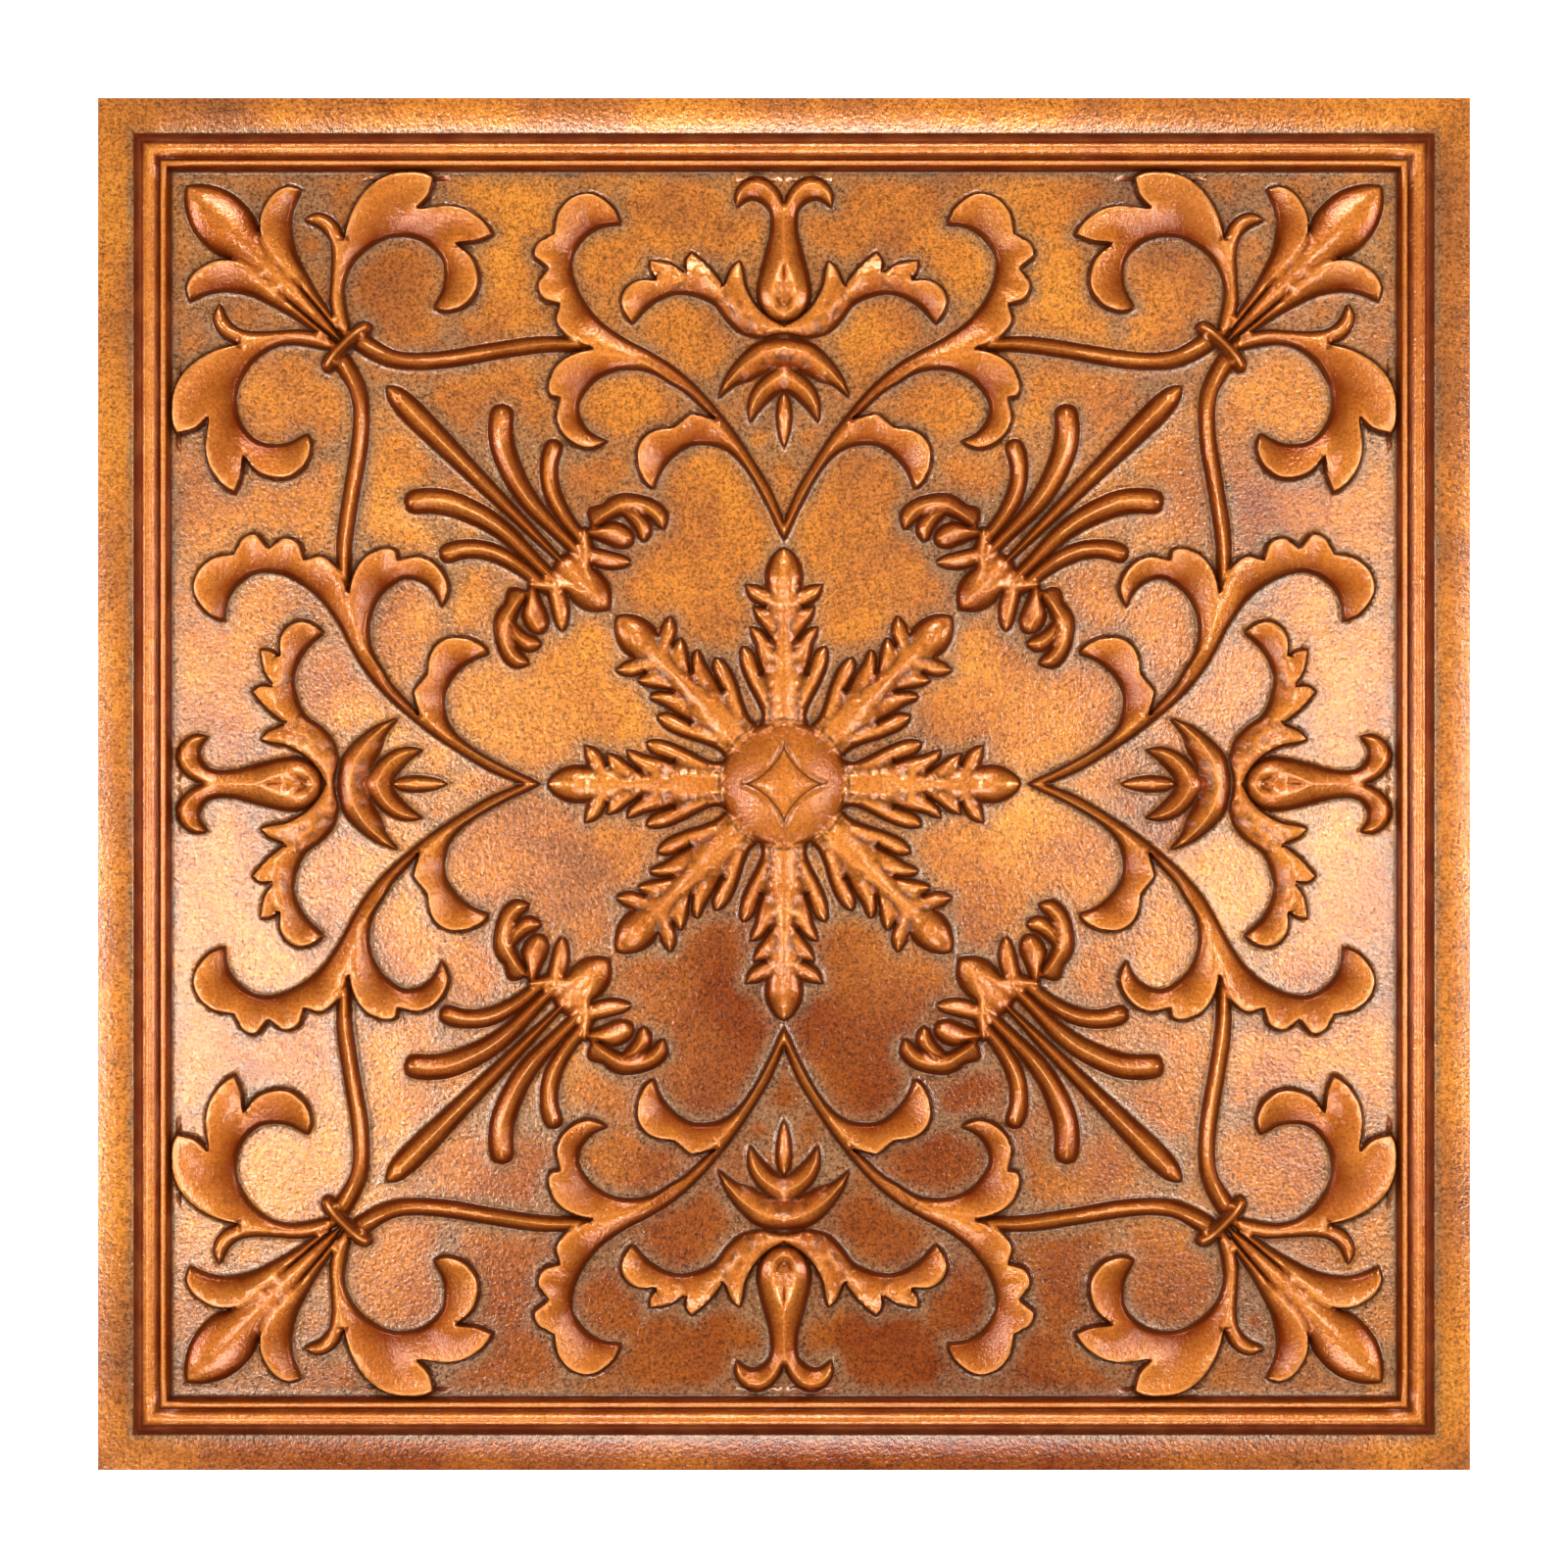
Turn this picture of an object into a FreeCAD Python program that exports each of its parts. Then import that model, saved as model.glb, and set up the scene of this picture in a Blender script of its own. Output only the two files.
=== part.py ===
import FreeCAD, Part
import math
import os

# Pressed ceiling tile: one square sheet with a flat rim, a double bead and a scroll ornament.
#
# Frame: the origin is the middle of the tile's back, +Z points out of the decorated face, and
# the sides run along X and Y. Lengths are in millimetres.
#
# The ornament repeats eight times. One octant, between the +Y axis and the diagonal x = y, is
# built as a press die and mirrored round. The sheet is the skin of that die: pressing moves
# the metal straight up, so the back is the front lowered by the sheet's thickness.

V = FreeCAD.Vector

# Sheet and rim
TILE_SIDE = 603.0
SHEET_THICKNESS = 0.5
RIM_WIDTH = 13.5

# Double bead round the field, from the rim inwards
OUTER_BEAD_WIDTH = 12.0
OUTER_BEAD_RISE = 7.0
OUTER_BEAD_CREST = 7.2
OUTER_WALL_WIDTH = 3.0
OUTER_WALL_RISE = 4.6
VALLEY_RISE = 4.0
INNER_BEAD_WIDTH = 7.0
INNER_BEAD_RISE = 5.4
INNER_BEAD_CREST = 3.1
INNER_WALL_WIDTH = 2.0
INNER_WALL_RISE = 3.6

# How far each kind of relief stands above the field
LEAF_RISE = 5.0
STEM_RISE = 4.0
ROD_RISE = 4.5
TIE_RISE = 6.0
BUD_RISE = 6.5
PETAL_RISE = 5.0
LEAFLET_RISE = 4.0
SPRAY_BASE_RISE = 4.5
ARM_RISE = 6.0
VASE_RISE = 5.5
SEPAL_RISE = 4.2

# Rosette boss in the middle
BOSS_RADIUS = 28.0
BOSS_RISE = 10.0
STAR_REACH = 16.5
STAR_WAIST = 9.0
STAR_FLOOR = 6.3
STAR_WALL_SLOPE = 0.6

# Each round stretch of a foot or crest line is pressed as this many flats
FLATS_PER_BEND = 2

# The ornament is drawn in millimetres on a field of this side, and grows with the field
DRAWN_FIELD_SIDE = 538.0

HALF_SIDE = TILE_SIDE / 2
BEAD_OUTER_FOOT = HALF_SIDE - RIM_WIDTH
BEAD_VALLEY = BEAD_OUTER_FOOT - OUTER_BEAD_WIDTH
FIELD_HALF = BEAD_VALLEY - INNER_BEAD_WIDTH
DRAWING_SCALE = 2 * FIELD_HALF / DRAWN_FIELD_SIDE
DIE_DEPTH = 20.0
ROOT_DEPTH = 3.0
FRONT = SHEET_THICKNESS


def spot(point, rise=0.0):
    """A drawn point as a vector: its third number, if any, is its share of the rise."""
    share = point[2] if len(point) == 3 else 0.0
    return V(point[0] * DRAWING_SCALE, point[1] * DRAWING_SCALE, FRONT + share * rise)


def stretch(points, rise=0.0):
    """Spots along a drawn line, in which every second point is the middle of a round stretch."""
    spots = [spot(p, rise) for p in points]
    line = spots[:1]
    for start, middle, end in zip(spots[0:-2:2], spots[1:-1:2], spots[2::2]):
        line += bend(start, middle, end)
    return line


def bend(start, middle, end):
    """The round stretch through three spots, laid out in even flats, without its first spot."""
    if (middle - start).cross(end - start).Length < 0.02 * (end - start).Length:
        curve = Part.LineSegment(start, end)
    else:
        curve = Part.Arc(start, middle, end)
    return curve.toShape().discretize(Number=FLATS_PER_BEND + 1)[1:-1] + [end]


def flat(*corners):
    """A flat face over its corners, or none where they close up to a line."""
    kept = [p for p, q in zip(corners, corners[1:] + corners[:1]) if (p - q).Length > 1e-6]
    if len(kept) < 3:
        return []
    return [Part.Face(Part.makePolygon(kept + kept[:1]))]


def slope(foot, crest):
    """The flats between a foot line and a crest line, each cut along its shorter diagonal."""
    faces = []
    for p, q, r, s in zip(foot, foot[1:], crest[1:], crest):
        if (q - s).Length < (p - r).Length:
            faces += flat(p, q, s) + flat(q, r, s)
        else:
            faces += flat(p, q, r) + flat(p, r, s)
    return faces


def ridge(left, crest, right, rise):
    """A solid that slopes from a left and a right foot line up to a crest line."""
    a, top, b = stretch(left), stretch(crest, rise), stretch(right)
    outline = a + b[::-1]
    # the root goes below the field, so that the relief grows out of the die's body
    down = V(0, 0, -ROOT_DEPTH)
    faces = slope(a, top) + slope(b, top) + flat(a[0], top[0], b[0]) + flat(a[-1], top[-1], b[-1])
    faces += flat(*[p + down for p in outline])
    for p, q in zip(outline, outline[1:] + outline[:1]):
        faces += flat(p, q, q + down, p + down) if (p - q).Length > 1e-6 else []
    return closed(faces)


def half_ridge(crest, side, rise):
    """A ridge cut in half along its crest, on the axis or on the diagonal."""
    return ridge([p[:2] for p in crest], crest, side, rise)


def closed(faces):
    """One solid from faces that meet edge to edge."""
    shell = Part.Shell(faces)
    shell.sewShape()
    solid = Part.Solid(shell if shell.ShapeType == "Shell" else shell.Shells[0])
    if solid.Volume < 0:
        solid.reverse()
    return solid


def vine():
    """The stem from the point of the heart up to the scroll."""
    inner = [(0, 117.8), (10.3, 137.5), (26.5, 158.8), (48.6, 180.8), (76, 198)]
    crest = [(0, 112.3, 1), (12.2, 136.4, 1), (29.5, 158.8, 1), (52.5, 180, 1), (78.5, 194, 1)]
    outer = [(0, 106.8), (14.6, 135), (32.5, 158), (56, 178.8), (84, 192)]
    return ridge(inner, crest, outer, STEM_RISE)


def scroll_leaf():
    """The large leaf with a scalloped back, curled over the side flower."""
    back = [(84, 190.8), (97.5, 198), (98, 210.5), (107.8, 218), (103.5, 226.3), (108.8, 234.5), (100, 241.3),
            (97.2, 253.5), (87, 259.7), (76, 255.4), (70.8, 245)]
    crest = [(77, 194.5, 0.8), (88.5, 201.5, 1), (93.5, 210, 1.1), (97.5, 218, 1.1), (98, 227, 1.1), (98.3, 234, 1.1),
             (95.5, 242, 1.1), (92, 248, 1), (86, 251.5, 0.9), (79, 250.5, 0.6), (70.8, 245, 0)]
    front = [(66, 191), (76.5, 198.8), (85, 207.7), (90.5, 217), (93, 226.5), (92.7, 233), (90, 239),
             (87.2, 242), (83, 244.5), (77, 245.8), (70.8, 245)]
    return ridge(back, crest, front, LEAF_RISE)


def upper_vine_leaf():
    """The notched leaf that curls down beside the spray."""
    back = [(76, 191), (90, 188.5), (101.5, 179.5), (103.3, 172.5), (98.8, 169.4), (100.2, 159), (95, 151),
            (87, 146.8), (77.3, 150.7)]
    crest = [(71, 184.8, 0.8), (81.5, 184.5, 1), (90.5, 180.5, 1), (94.3, 174.5, 1), (95.3, 168, 1),
             (95, 159.5, 1), (91.5, 154, 0.9), (85.5, 150, 0.6), (77.3, 150.7, 0)]
    front = [(58, 180.8), (70, 182.4), (81, 180), (87.3, 174.5), (89.8, 168), (89.8, 161), (86, 156), (82, 152),
             (77.3, 150.7)]
    return ridge(back, crest, front, LEAF_RISE)


def lower_vine_leaf():
    """The leaf that curls over the heart's point."""
    back = [(27, 156.5), (37.5, 162.3), (46, 157.5), (57.5, 155), (64, 144), (62.5, 134.5), (57.3, 129.6)]
    crest = [(26, 150, 0.8), (34, 155.6, 1), (42.5, 154.5, 1), (54, 150, 1), (60, 141, 0.95), (59.8, 134, 0.6),
             (57.3, 129.6, 0)]
    front = [(17, 139), (26, 146.6), (37, 149.3), (48.5, 144.2), (54, 137), (55.8, 133.3), (57.3, 129.6)]
    return ridge(back, crest, front, LEAF_RISE)


def runner():
    """The stem from the tied corner flower to the scroll."""
    upper = [(90, 196.3), (125, 194.6), (160, 189.3), (174.5, 191.4), (187.5, 199.5)]
    crest = [(93, 193, 1), (126, 191.2, 1), (160, 185.8, 1), (176, 188.4, 1), (187.8, 195.8, 1)]
    lower = [(90, 189.9), (124, 187.8), (160, 182.2), (177.5, 185), (192, 194)]
    return ridge(upper, crest, lower, STEM_RISE)


def trefoil_leaf():
    """The three-lobed leaf that bends round beside the corner flower."""
    back = [(195, 203), (197, 222), (193, 241), (185, 257.5), (170.5, 267.6), (162, 268), (153, 266),
            (155, 259), (160, 253), (142, 254), (126.8, 241), (134, 238), (142, 236.8), (133.8, 224), (141, 210),
            (148, 207.8), (154.3, 210.3)]
    crest = [(192.8, 206, 0.8), (194.8, 221, 0.9), (188.5, 238, 1), (180, 248, 1), (170, 252, 1), (166, 252.2, 1),
             (162, 251.2, 1), (160, 250, 1), (158.3, 248.5, 1), (153.5, 246, 1), (149.5, 242.5, 1), (148, 240, 1),
             (146.8, 236.5, 1), (142, 226, 0.9), (144.8, 216, 0.8), (148.5, 212, 0.5), (154.3, 210.3, 0)]
    front = [(189.5, 203), (193.3, 215), (190.5, 227), (186, 233), (179, 237), (175, 238.6), (171.5, 239.6),
             (169, 240.1), (166, 240.2), (161, 239.7), (157, 238), (153.5, 235.5), (151, 232), (149, 224), (150, 217),
             (151.8, 213), (154.3, 210.3)]
    return ridge(back, crest, front, LEAF_RISE)


def tendril():
    """The thin curl between the trefoil leaf and the petal."""
    left = [(193.5, 203), (193.9, 221), (192.2, 238), (197.6, 249.8), (211.3, 246.8)]
    crest = [(196.6, 206, 1), (196.9, 221, 1), (195.6, 237, 1), (200.3, 246.8, 0.9), (211.3, 246.8, 0)]
    right = [(199, 203), (199.4, 220), (198.4, 235), (202.3, 243.6), (211.3, 246.8)]
    return ridge(left, crest, right, STEM_RISE)


def petal():
    """The curled petal beside the corner bud."""
    left = [(200.5, 205.5), (209.2, 222.5), (214.4, 237), (214.9, 249.5), (211.5, 261)]
    crest = [(203.8, 207.5, 0.7), (214.8, 222.3, 1), (221.5, 237, 1), (221, 250.5, 0.9), (211.5, 261, 0)]
    right = [(203.3, 203.8), (218.8, 221), (228.7, 236.5), (228.2, 253), (211.5, 261)]
    return ridge(left, crest, right, PETAL_RISE)


def corner_bud():
    """Half of the bud that points into the corner."""
    crest = [(197.5, 197.5, 0), (219, 219, 0.95), (238, 238, 1), (251, 251, 0.75), (262.3, 262.3, 0)]
    side = [(197.5, 197.5), (212.3, 216.8), (228, 239), (241.5, 258.5), (262.3, 262.3)]
    return half_ridge(crest, side, BUD_RISE)


def tie():
    """Half of the band that holds the corner flower's stems."""
    outer = [(183, 202.5), (185, 204.3), (187.5, 204), (193.5, 201.8), (198, 198)]
    crest = [(183, 202.5, 0), (184.3, 202.2, 0.6), (186.5, 201.5, 1), (192, 198.8, 1), (195.8, 195.8, 1)]
    inner = [(183, 202.5), (183, 200), (185.5, 199), (190.3, 196.6), (193.5, 193.5)]
    return ridge(outer, crest, inner, TIE_RISE)


def middle_rod():
    """Half of the spray's straight rod."""
    crest = [(175, 175, 0), (170, 170, 0.8), (165, 165, 1), (128, 128, 1), (86, 86, 0)]
    side = [(175, 175), (169, 174), (161, 168.6), (126, 131.5), (86, 86)]
    return half_ridge(crest, side, ROD_RISE)


def long_rod():
    """The spray's longer bent rod."""
    left = [(124, 167.3), (119.2, 164), (118.7, 158), (112.8, 131.5), (90, 104.5)]
    crest = [(124, 167.3, 0), (124.1, 164, 0.8), (124.1, 158, 1), (117.3, 133, 1), (94.3, 105.8, 0.7)]
    right = [(124, 167.3), (129, 164), (129.6, 157), (121.8, 134), (94.5, 101.5)]
    return ridge(left, crest, right, ROD_RISE)


def short_rod():
    """The spray's shorter bent rod."""
    left = [(100.8, 152.3), (97.7, 150.3), (97.8, 146), (97, 128.5), (85.5, 110)]
    crest = [(100.8, 152.3, 0), (101.3, 149.5, 0.8), (102.2, 145, 1), (100.3, 127.5, 1), (88.9, 110.6, 0.7)]
    right = [(100.8, 152.3), (104.8, 150), (106.2, 144.5), (103.7, 126), (89, 106)]
    return ridge(left, crest, right, ROD_RISE)


def spray_base():
    """The curled leaves that the spray's rods grow from."""
    curl = ridge(
        [(86.5, 110), (85.8, 119.6), (76, 126.3), (58.5, 126.5), (52.3, 111.3)],
        [(83.8, 113.2, 0.8), (81.5, 119, 1), (73.5, 122.3, 1), (60, 121.3, 0.9), (52.3, 111.3, 0)],
        [(81, 112), (79, 117.3), (72.5, 119.3), (62.5, 118.8), (52.3, 111.3)],
        SPRAY_BASE_RISE)
    finger = ridge(
        [(66, 120.5), (58.8, 113.5), (61.5, 106.3)],
        [(68.2, 117.6, 0.8), (63.8, 113.2, 0.8), (61.5, 106.3, 0)],
        [(73, 119), (67, 113.5), (61.5, 106.3)],
        SPRAY_BASE_RISE)
    thumb = ridge(
        [(83, 117), (72, 115), (66, 105)],
        [(82, 111.4, 0.9), (75, 109.5, 1), (66, 105, 0)],
        [(86, 107), (76.5, 104), (66, 105)],
        SPRAY_BASE_RISE)
    blade = ridge(
        [(88, 105), (76, 103), (66.3, 97)],
        [(84.8, 100.3, 0.9), (76, 98.4, 1), (66.3, 97, 0)],
        [(86, 96), (75.5, 93.6), (66.3, 97)],
        SPRAY_BASE_RISE)
    heel = half_ridge(
        [(97, 97, 0), (86, 86, 1.1), (75.8, 75.8, 0)],
        [(97, 97), (76.5, 91.5), (75.8, 75.8)],
        SPRAY_BASE_RISE)
    node = ridge(
        [(84, 112), (82.8, 103), (85, 94)],
        [(87, 108.4, 0.9), (86.5, 102, 1), (88.5, 97, 1)],
        [(90.5, 110), (89.8, 101), (92.5, 93.5)],
        SPRAY_BASE_RISE)
    return [curl, finger, thumb, blade, heel, node]


def rosette_arm():
    """Half of the rosette arm on the +Y axis, with its leaflets."""
    body = half_ridge(
        [(0, 20, 0), (0, 32, 0.95), (0, 46, 0.85), (0, 68, 0.75), (0, 90, 0)],
        [(0, 20), (10.5, 27), (9, 42), (6.5, 62), (0, 90)],
        ARM_RISE)
    bud = half_ridge(
        [(0, 75, 0), (0, 91, 1), (0, 104, 0)],
        [(0, 75), (9, 91), (0, 104)],
        BUD_RISE)
    first = leaflet((2.5, 83), (10.5, 87.2), (2.5, 74.5), (13.5, 80.5), (17.3, 87.8))
    second = leaflet((2, 75), (8.5, 77.5), (2.5, 64.5), (11, 70.5), (13.6, 78.3))
    third = leaflet((2, 61.5), (8.5, 67.8), (5, 48), (12.8, 59), (15.1, 69.3))
    fourth = leaflet((5, 46), (12.3, 57.5), (9.5, 29), (18.2, 47), (18.6, 61))
    return [body, bud, first, second, third, fourth]


def other_arm():
    """Half of the arm on the diagonal: the first one seen in the line between them."""
    across = math.radians(22.5)
    return [leaf.mirror(V(0, 0, 0), V(math.cos(across), -math.sin(across), 0)) for leaf in rosette_arm()]


def leaflet(left, left_middle, right, right_middle, tip):
    """A short pointed leaf on a rosette arm, with its crest midway between its sides."""
    root = toward(halfway(left, right), tip, 0.22)
    middle = toward(halfway(left_middle, right_middle), tip, 0.06)
    return ridge([left, left_middle, tip], [(*root, 0.9), (*middle, 0.9), (*tip, 0)],
                 [right, right_middle, tip], LEAFLET_RISE)


def halfway(a, b):
    return toward(a, b, 0.5)


def toward(a, b, share):
    return (a[0] + share * (b[0] - a[0]), a[1] + share * (b[1] - a[1]))


def vase():
    """Half of the side flower's vase, and one of its two horns."""
    body = half_ridge(
        [(0, 201.8, 0), (0, 206, 0.7), (0, 217, 1.1), (0, 233, 0.9), (0, 247, 0.8), (0, 253, 0.6), (0, 257.5, 0)],
        [(0, 201.8), (9.2, 207), (11.9, 217), (8.5, 233), (5.8, 247), (5, 253.5), (0, 257.5)],
        VASE_RISE)
    horn = ridge(
        [(1, 256.5), (5.5, 264.3), (13, 267.4), (20.8, 262), (21.6, 252.3)],
        [(5, 253.5, 0.8), (7.5, 259.6, 0.9), (13, 262, 0.8), (18.6, 259.5, 0.6), (21.6, 252.3, 0)],
        [(5.8, 246), (7.5, 253.7), (13, 256.9), (18, 255.5), (21.6, 252.3)],
        VASE_RISE)
    return [body, horn]


def wing_leaf():
    """The toothed leaf that spreads beside the vase."""
    back = [(0, 202.7), (13.5, 210.3), (18.7, 230.2), (24, 225), (26.6, 217.8), (32.5, 226), (40, 233.8),
            (43.4, 229), (43, 222.8), (50.5, 228.6), (58.8, 229.8), (58.9, 225), (56.3, 220.7), (66, 220.7),
            (71.3, 214), (71.3, 207.5), (66.3, 201.6)]
    crest = [(0, 199.3, 0.7), (10, 202.3, 0.9), (19, 210.5, 1), (22, 212.3, 1), (24.7, 213.2, 1),
             (28.5, 215, 1), (33, 216.7, 1), (37, 218, 1), (41, 218.6, 1), (45, 218.8, 1), (49, 218.6, 1),
             (52, 217.9, 1), (55, 216.8, 1), (61.5, 214.5, 1), (66, 210.8, 0.9), (67.3, 206, 0.5),
             (66.3, 201.6, 0)]
    front = [(0, 196.2), (8.5, 194.6), (17, 196.5), (19.5, 197.7), (22, 199.3), (26, 203.5), (29, 208),
             (32, 211), (36, 213), (41, 214.6), (46, 215.1), (50, 214.7), (54, 213.4), (58, 210.8),
             (61.5, 207.3), (64, 204.7), (66.3, 201.6)]
    return ridge(back, crest, front, LEAF_RISE)


def sepals():
    """Half of the two nested sepals under the side flower, and of the drop below them."""
    upper = ridge(
        [(0, 195.8), (12, 192.6), (21, 184.5), (27, 177), (28.9, 169.3)],
        [(0, 189.5, 1), (8, 186.8, 1), (17, 181.7, 1), (24, 175.7, 0.6), (28.9, 169.3, 0)],
        [(0, 183.2), (5, 180.8), (9, 179.3), (20, 174.8), (28.9, 169.3)],
        SEPAL_RISE)
    lower = ridge(
        [(0, 184.6), (7.5, 180), (12.5, 174.5), (15.6, 167), (14.3, 158.8)],
        [(0, 179, 1), (6, 175.7, 1), (10.3, 171, 1), (13.6, 165, 0.6), (14.3, 158.8, 0)],
        [(0, 172.9), (4, 172), (8, 168.8), (12, 164), (14.3, 158.8)],
        SEPAL_RISE)
    drop = half_ridge(
        [(0, 171.4, 0), (0, 168, 0.7), (0, 162, 0.9), (0, 154, 0.6), (0, 147, 0)],
        [(0, 171.4), (3, 168.5), (4.4, 162), (3, 153), (0, 147)],
        SEPAL_RISE)
    return [upper, lower, drop]


def boss():
    """An eighth of the rosette's round boss, with its sunk four-pointed star."""
    ball_radius = (BOSS_RADIUS ** 2 + BOSS_RISE ** 2) / (2 * BOSS_RISE)
    ball = Part.makeSphere(ball_radius, V(0, 0, FRONT + BOSS_RISE - ball_radius))
    dome = ball.common(eighth(2 * BOSS_RADIUS, FRONT - ROOT_DEPTH, 2 * BOSS_RISE))
    # each side of the star is what a round cutter standing on the diagonal leaves
    waist = STAR_WAIST / math.sqrt(2)
    offset = (STAR_REACH ** 2 - 2 * waist ** 2) / (2 * STAR_REACH - 4 * waist)
    radius = (offset - waist) * math.sqrt(2)
    depth = 2 * (BOSS_RISE - STAR_FLOOR)
    floor = FRONT + STAR_FLOOR
    cutter = Part.makeCone(radius, radius - STAR_WALL_SLOPE * depth, depth, V(offset, offset, floor))
    star = eighth(BOSS_RADIUS, floor, depth).cut(cutter)
    return dome.cut(star)


def eighth(radius, floor, height):
    """A wedge of a cylinder between the +Y axis and the diagonal."""
    wedge = Part.makeCylinder(radius, height, V(0, 0, floor), V(0, 0, 1), 45)
    wedge.rotate(V(0, 0, 0), V(0, 0, 1), 45)
    return wedge


def bordered_slab():
    """An eighth of the die's flat body, with the rim and the double bead."""
    def at(y, rise):
        return V(0, y, FRONT + rise)

    low = -DIE_DEPTH
    wall_top = at(BEAD_OUTER_FOOT - OUTER_WALL_WIDTH, OUTER_WALL_RISE)
    valley = at(BEAD_VALLEY, VALLEY_RISE)
    inner_wall_top = at(FIELD_HALF + INNER_WALL_WIDTH, INNER_WALL_RISE)
    line = [
        Part.LineSegment(V(0, 0, low), V(0, HALF_SIDE, low)),
        Part.LineSegment(V(0, HALF_SIDE, low), at(HALF_SIDE, 0)),
        Part.LineSegment(at(HALF_SIDE, 0), at(BEAD_OUTER_FOOT, 0)),
        Part.LineSegment(at(BEAD_OUTER_FOOT, 0), wall_top),
        Part.Arc(wall_top, at(BEAD_OUTER_FOOT - OUTER_BEAD_CREST, OUTER_BEAD_RISE), valley),
        Part.Arc(valley, at(BEAD_VALLEY - INNER_BEAD_CREST, INNER_BEAD_RISE), inner_wall_top),
        Part.LineSegment(inner_wall_top, at(FIELD_HALF, 0)),
        Part.LineSegment(at(FIELD_HALF, 0), at(0, 0)),
        Part.LineSegment(at(0, 0), V(0, 0, low)),
    ]
    section = Part.Face(Part.Wire([piece.toShape() for piece in line]))
    bar = section.extrude(V(HALF_SIDE, 0, 0))
    corners = [(0, 0), (2 * HALF_SIDE, 2 * HALF_SIDE), (2 * HALF_SIDE, 0), (0, 0)]
    beyond = Part.Face(Part.makePolygon([V(x, y, -2 * DIE_DEPTH) for x, y in corners]))
    return bar.cut(beyond.extrude(V(0, 0, 4 * DIE_DEPTH)))


def octant_die():
    """One eighth of the press die."""
    ornament = [vine(), scroll_leaf(), upper_vine_leaf(), lower_vine_leaf(), runner(), trefoil_leaf(), tendril(),
                petal(), corner_bud(), tie(), middle_rod(), long_rod(), short_rod(), wing_leaf(), boss()]
    ornament += spray_base() + rosette_arm() + other_arm() + vase() + sepals()
    return bordered_slab().fuse(ornament)


def pressed_faces(die):
    """The die's faces that the metal lies on: not its base, its rim or its two cut sides."""
    kept = []
    for face in die.Faces:
        points = [v.Point for v in face.Vertexes] + [face.CenterOfMass]
        on_axis = all(abs(p.x) < 1e-4 for p in points)
        on_diagonal = all(abs(p.x - p.y) < 1e-4 for p in points)
        on_rim = all(abs(p.y - HALF_SIDE) < 1e-4 for p in points)
        below = face.CenterOfMass.z < 0
        if not (on_axis or on_diagonal or on_rim or below):
            kept.append(face)
    return kept


def round_the_tile(faces):
    """The eight copies of one octant's faces."""
    octant = Part.Compound(faces)
    mirrored = octant.mirror(V(0, 0, 0), V(1, 0, 0))
    copies = []
    for turn in range(4):
        for part in (octant, mirrored):
            copy = part.copy()
            copy.rotate(V(0, 0, 0), V(0, 0, 1), 90 * turn)
            copies += copy.Faces
    return copies


def rim_faces():
    """The sheet's four cut edges."""
    h = HALF_SIDE
    corners = [(-h, -h), (h, -h), (h, h), (-h, h)]
    walls = []
    for (ax, ay), (bx, by) in zip(corners, corners[1:] + corners[:1]):
        middle = ((ax + bx) / 2, (ay + by) / 2)
        for (px, py), (qx, qy) in (((ax, ay), middle), (middle, (bx, by))):
            walls.append(Part.Face(Part.makePolygon([
                V(px, py, 0), V(qx, qy, 0), V(qx, qy, FRONT), V(px, py, FRONT), V(px, py, 0)])))
    return walls


def pressed_sheet():
    front = round_the_tile(pressed_faces(octant_die()))
    back = Part.Compound(front).copy()
    back.translate(V(0, 0, -SHEET_THICKNESS))
    return closed(front + back.Faces + rim_faces())


def main():
    os.makedirs("parts", exist_ok=True)
    sheet = pressed_sheet()
    print("faces", len(sheet.Faces), "volume", round(sheet.Volume), "valid", sheet.isValid())
    sheet.exportStep("parts/pressed_sheet.step")


main()
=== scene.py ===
import math

import bmesh
import bpy
import numpy as np
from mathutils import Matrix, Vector
from mathutils.geometry import delaunay_2d_cdt


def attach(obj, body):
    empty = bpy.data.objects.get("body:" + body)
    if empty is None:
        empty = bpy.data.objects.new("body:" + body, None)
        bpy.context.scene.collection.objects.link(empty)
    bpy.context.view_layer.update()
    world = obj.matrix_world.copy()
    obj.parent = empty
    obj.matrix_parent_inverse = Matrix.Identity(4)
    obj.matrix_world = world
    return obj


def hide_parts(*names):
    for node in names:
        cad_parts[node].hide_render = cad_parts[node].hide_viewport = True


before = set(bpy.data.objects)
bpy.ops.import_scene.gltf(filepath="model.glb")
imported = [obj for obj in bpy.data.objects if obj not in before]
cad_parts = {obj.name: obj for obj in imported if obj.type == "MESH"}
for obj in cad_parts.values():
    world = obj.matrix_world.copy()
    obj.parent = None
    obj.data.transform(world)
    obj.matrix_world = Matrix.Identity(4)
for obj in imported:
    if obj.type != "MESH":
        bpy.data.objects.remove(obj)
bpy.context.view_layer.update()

# Pressed sheet: one square of thin metal, pressed in a die so that the moulding, the field and all of
# the ornament stand in a single piece, and painted as aged copper. It lies flat on its plain border.

# The ornament is drawn for one octant, between the +Y axis and the diagonal, in millimetres from the
# tile's middle. Each motif is a closed foot line of smooth stretches between sharp corners, with
# crest lines (x, y, rise) that its surface climbs to.

LINE_STEP = 1.6
CREST_STEP = 2.0
SAME_POINT = 0.05
motifs = []


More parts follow.
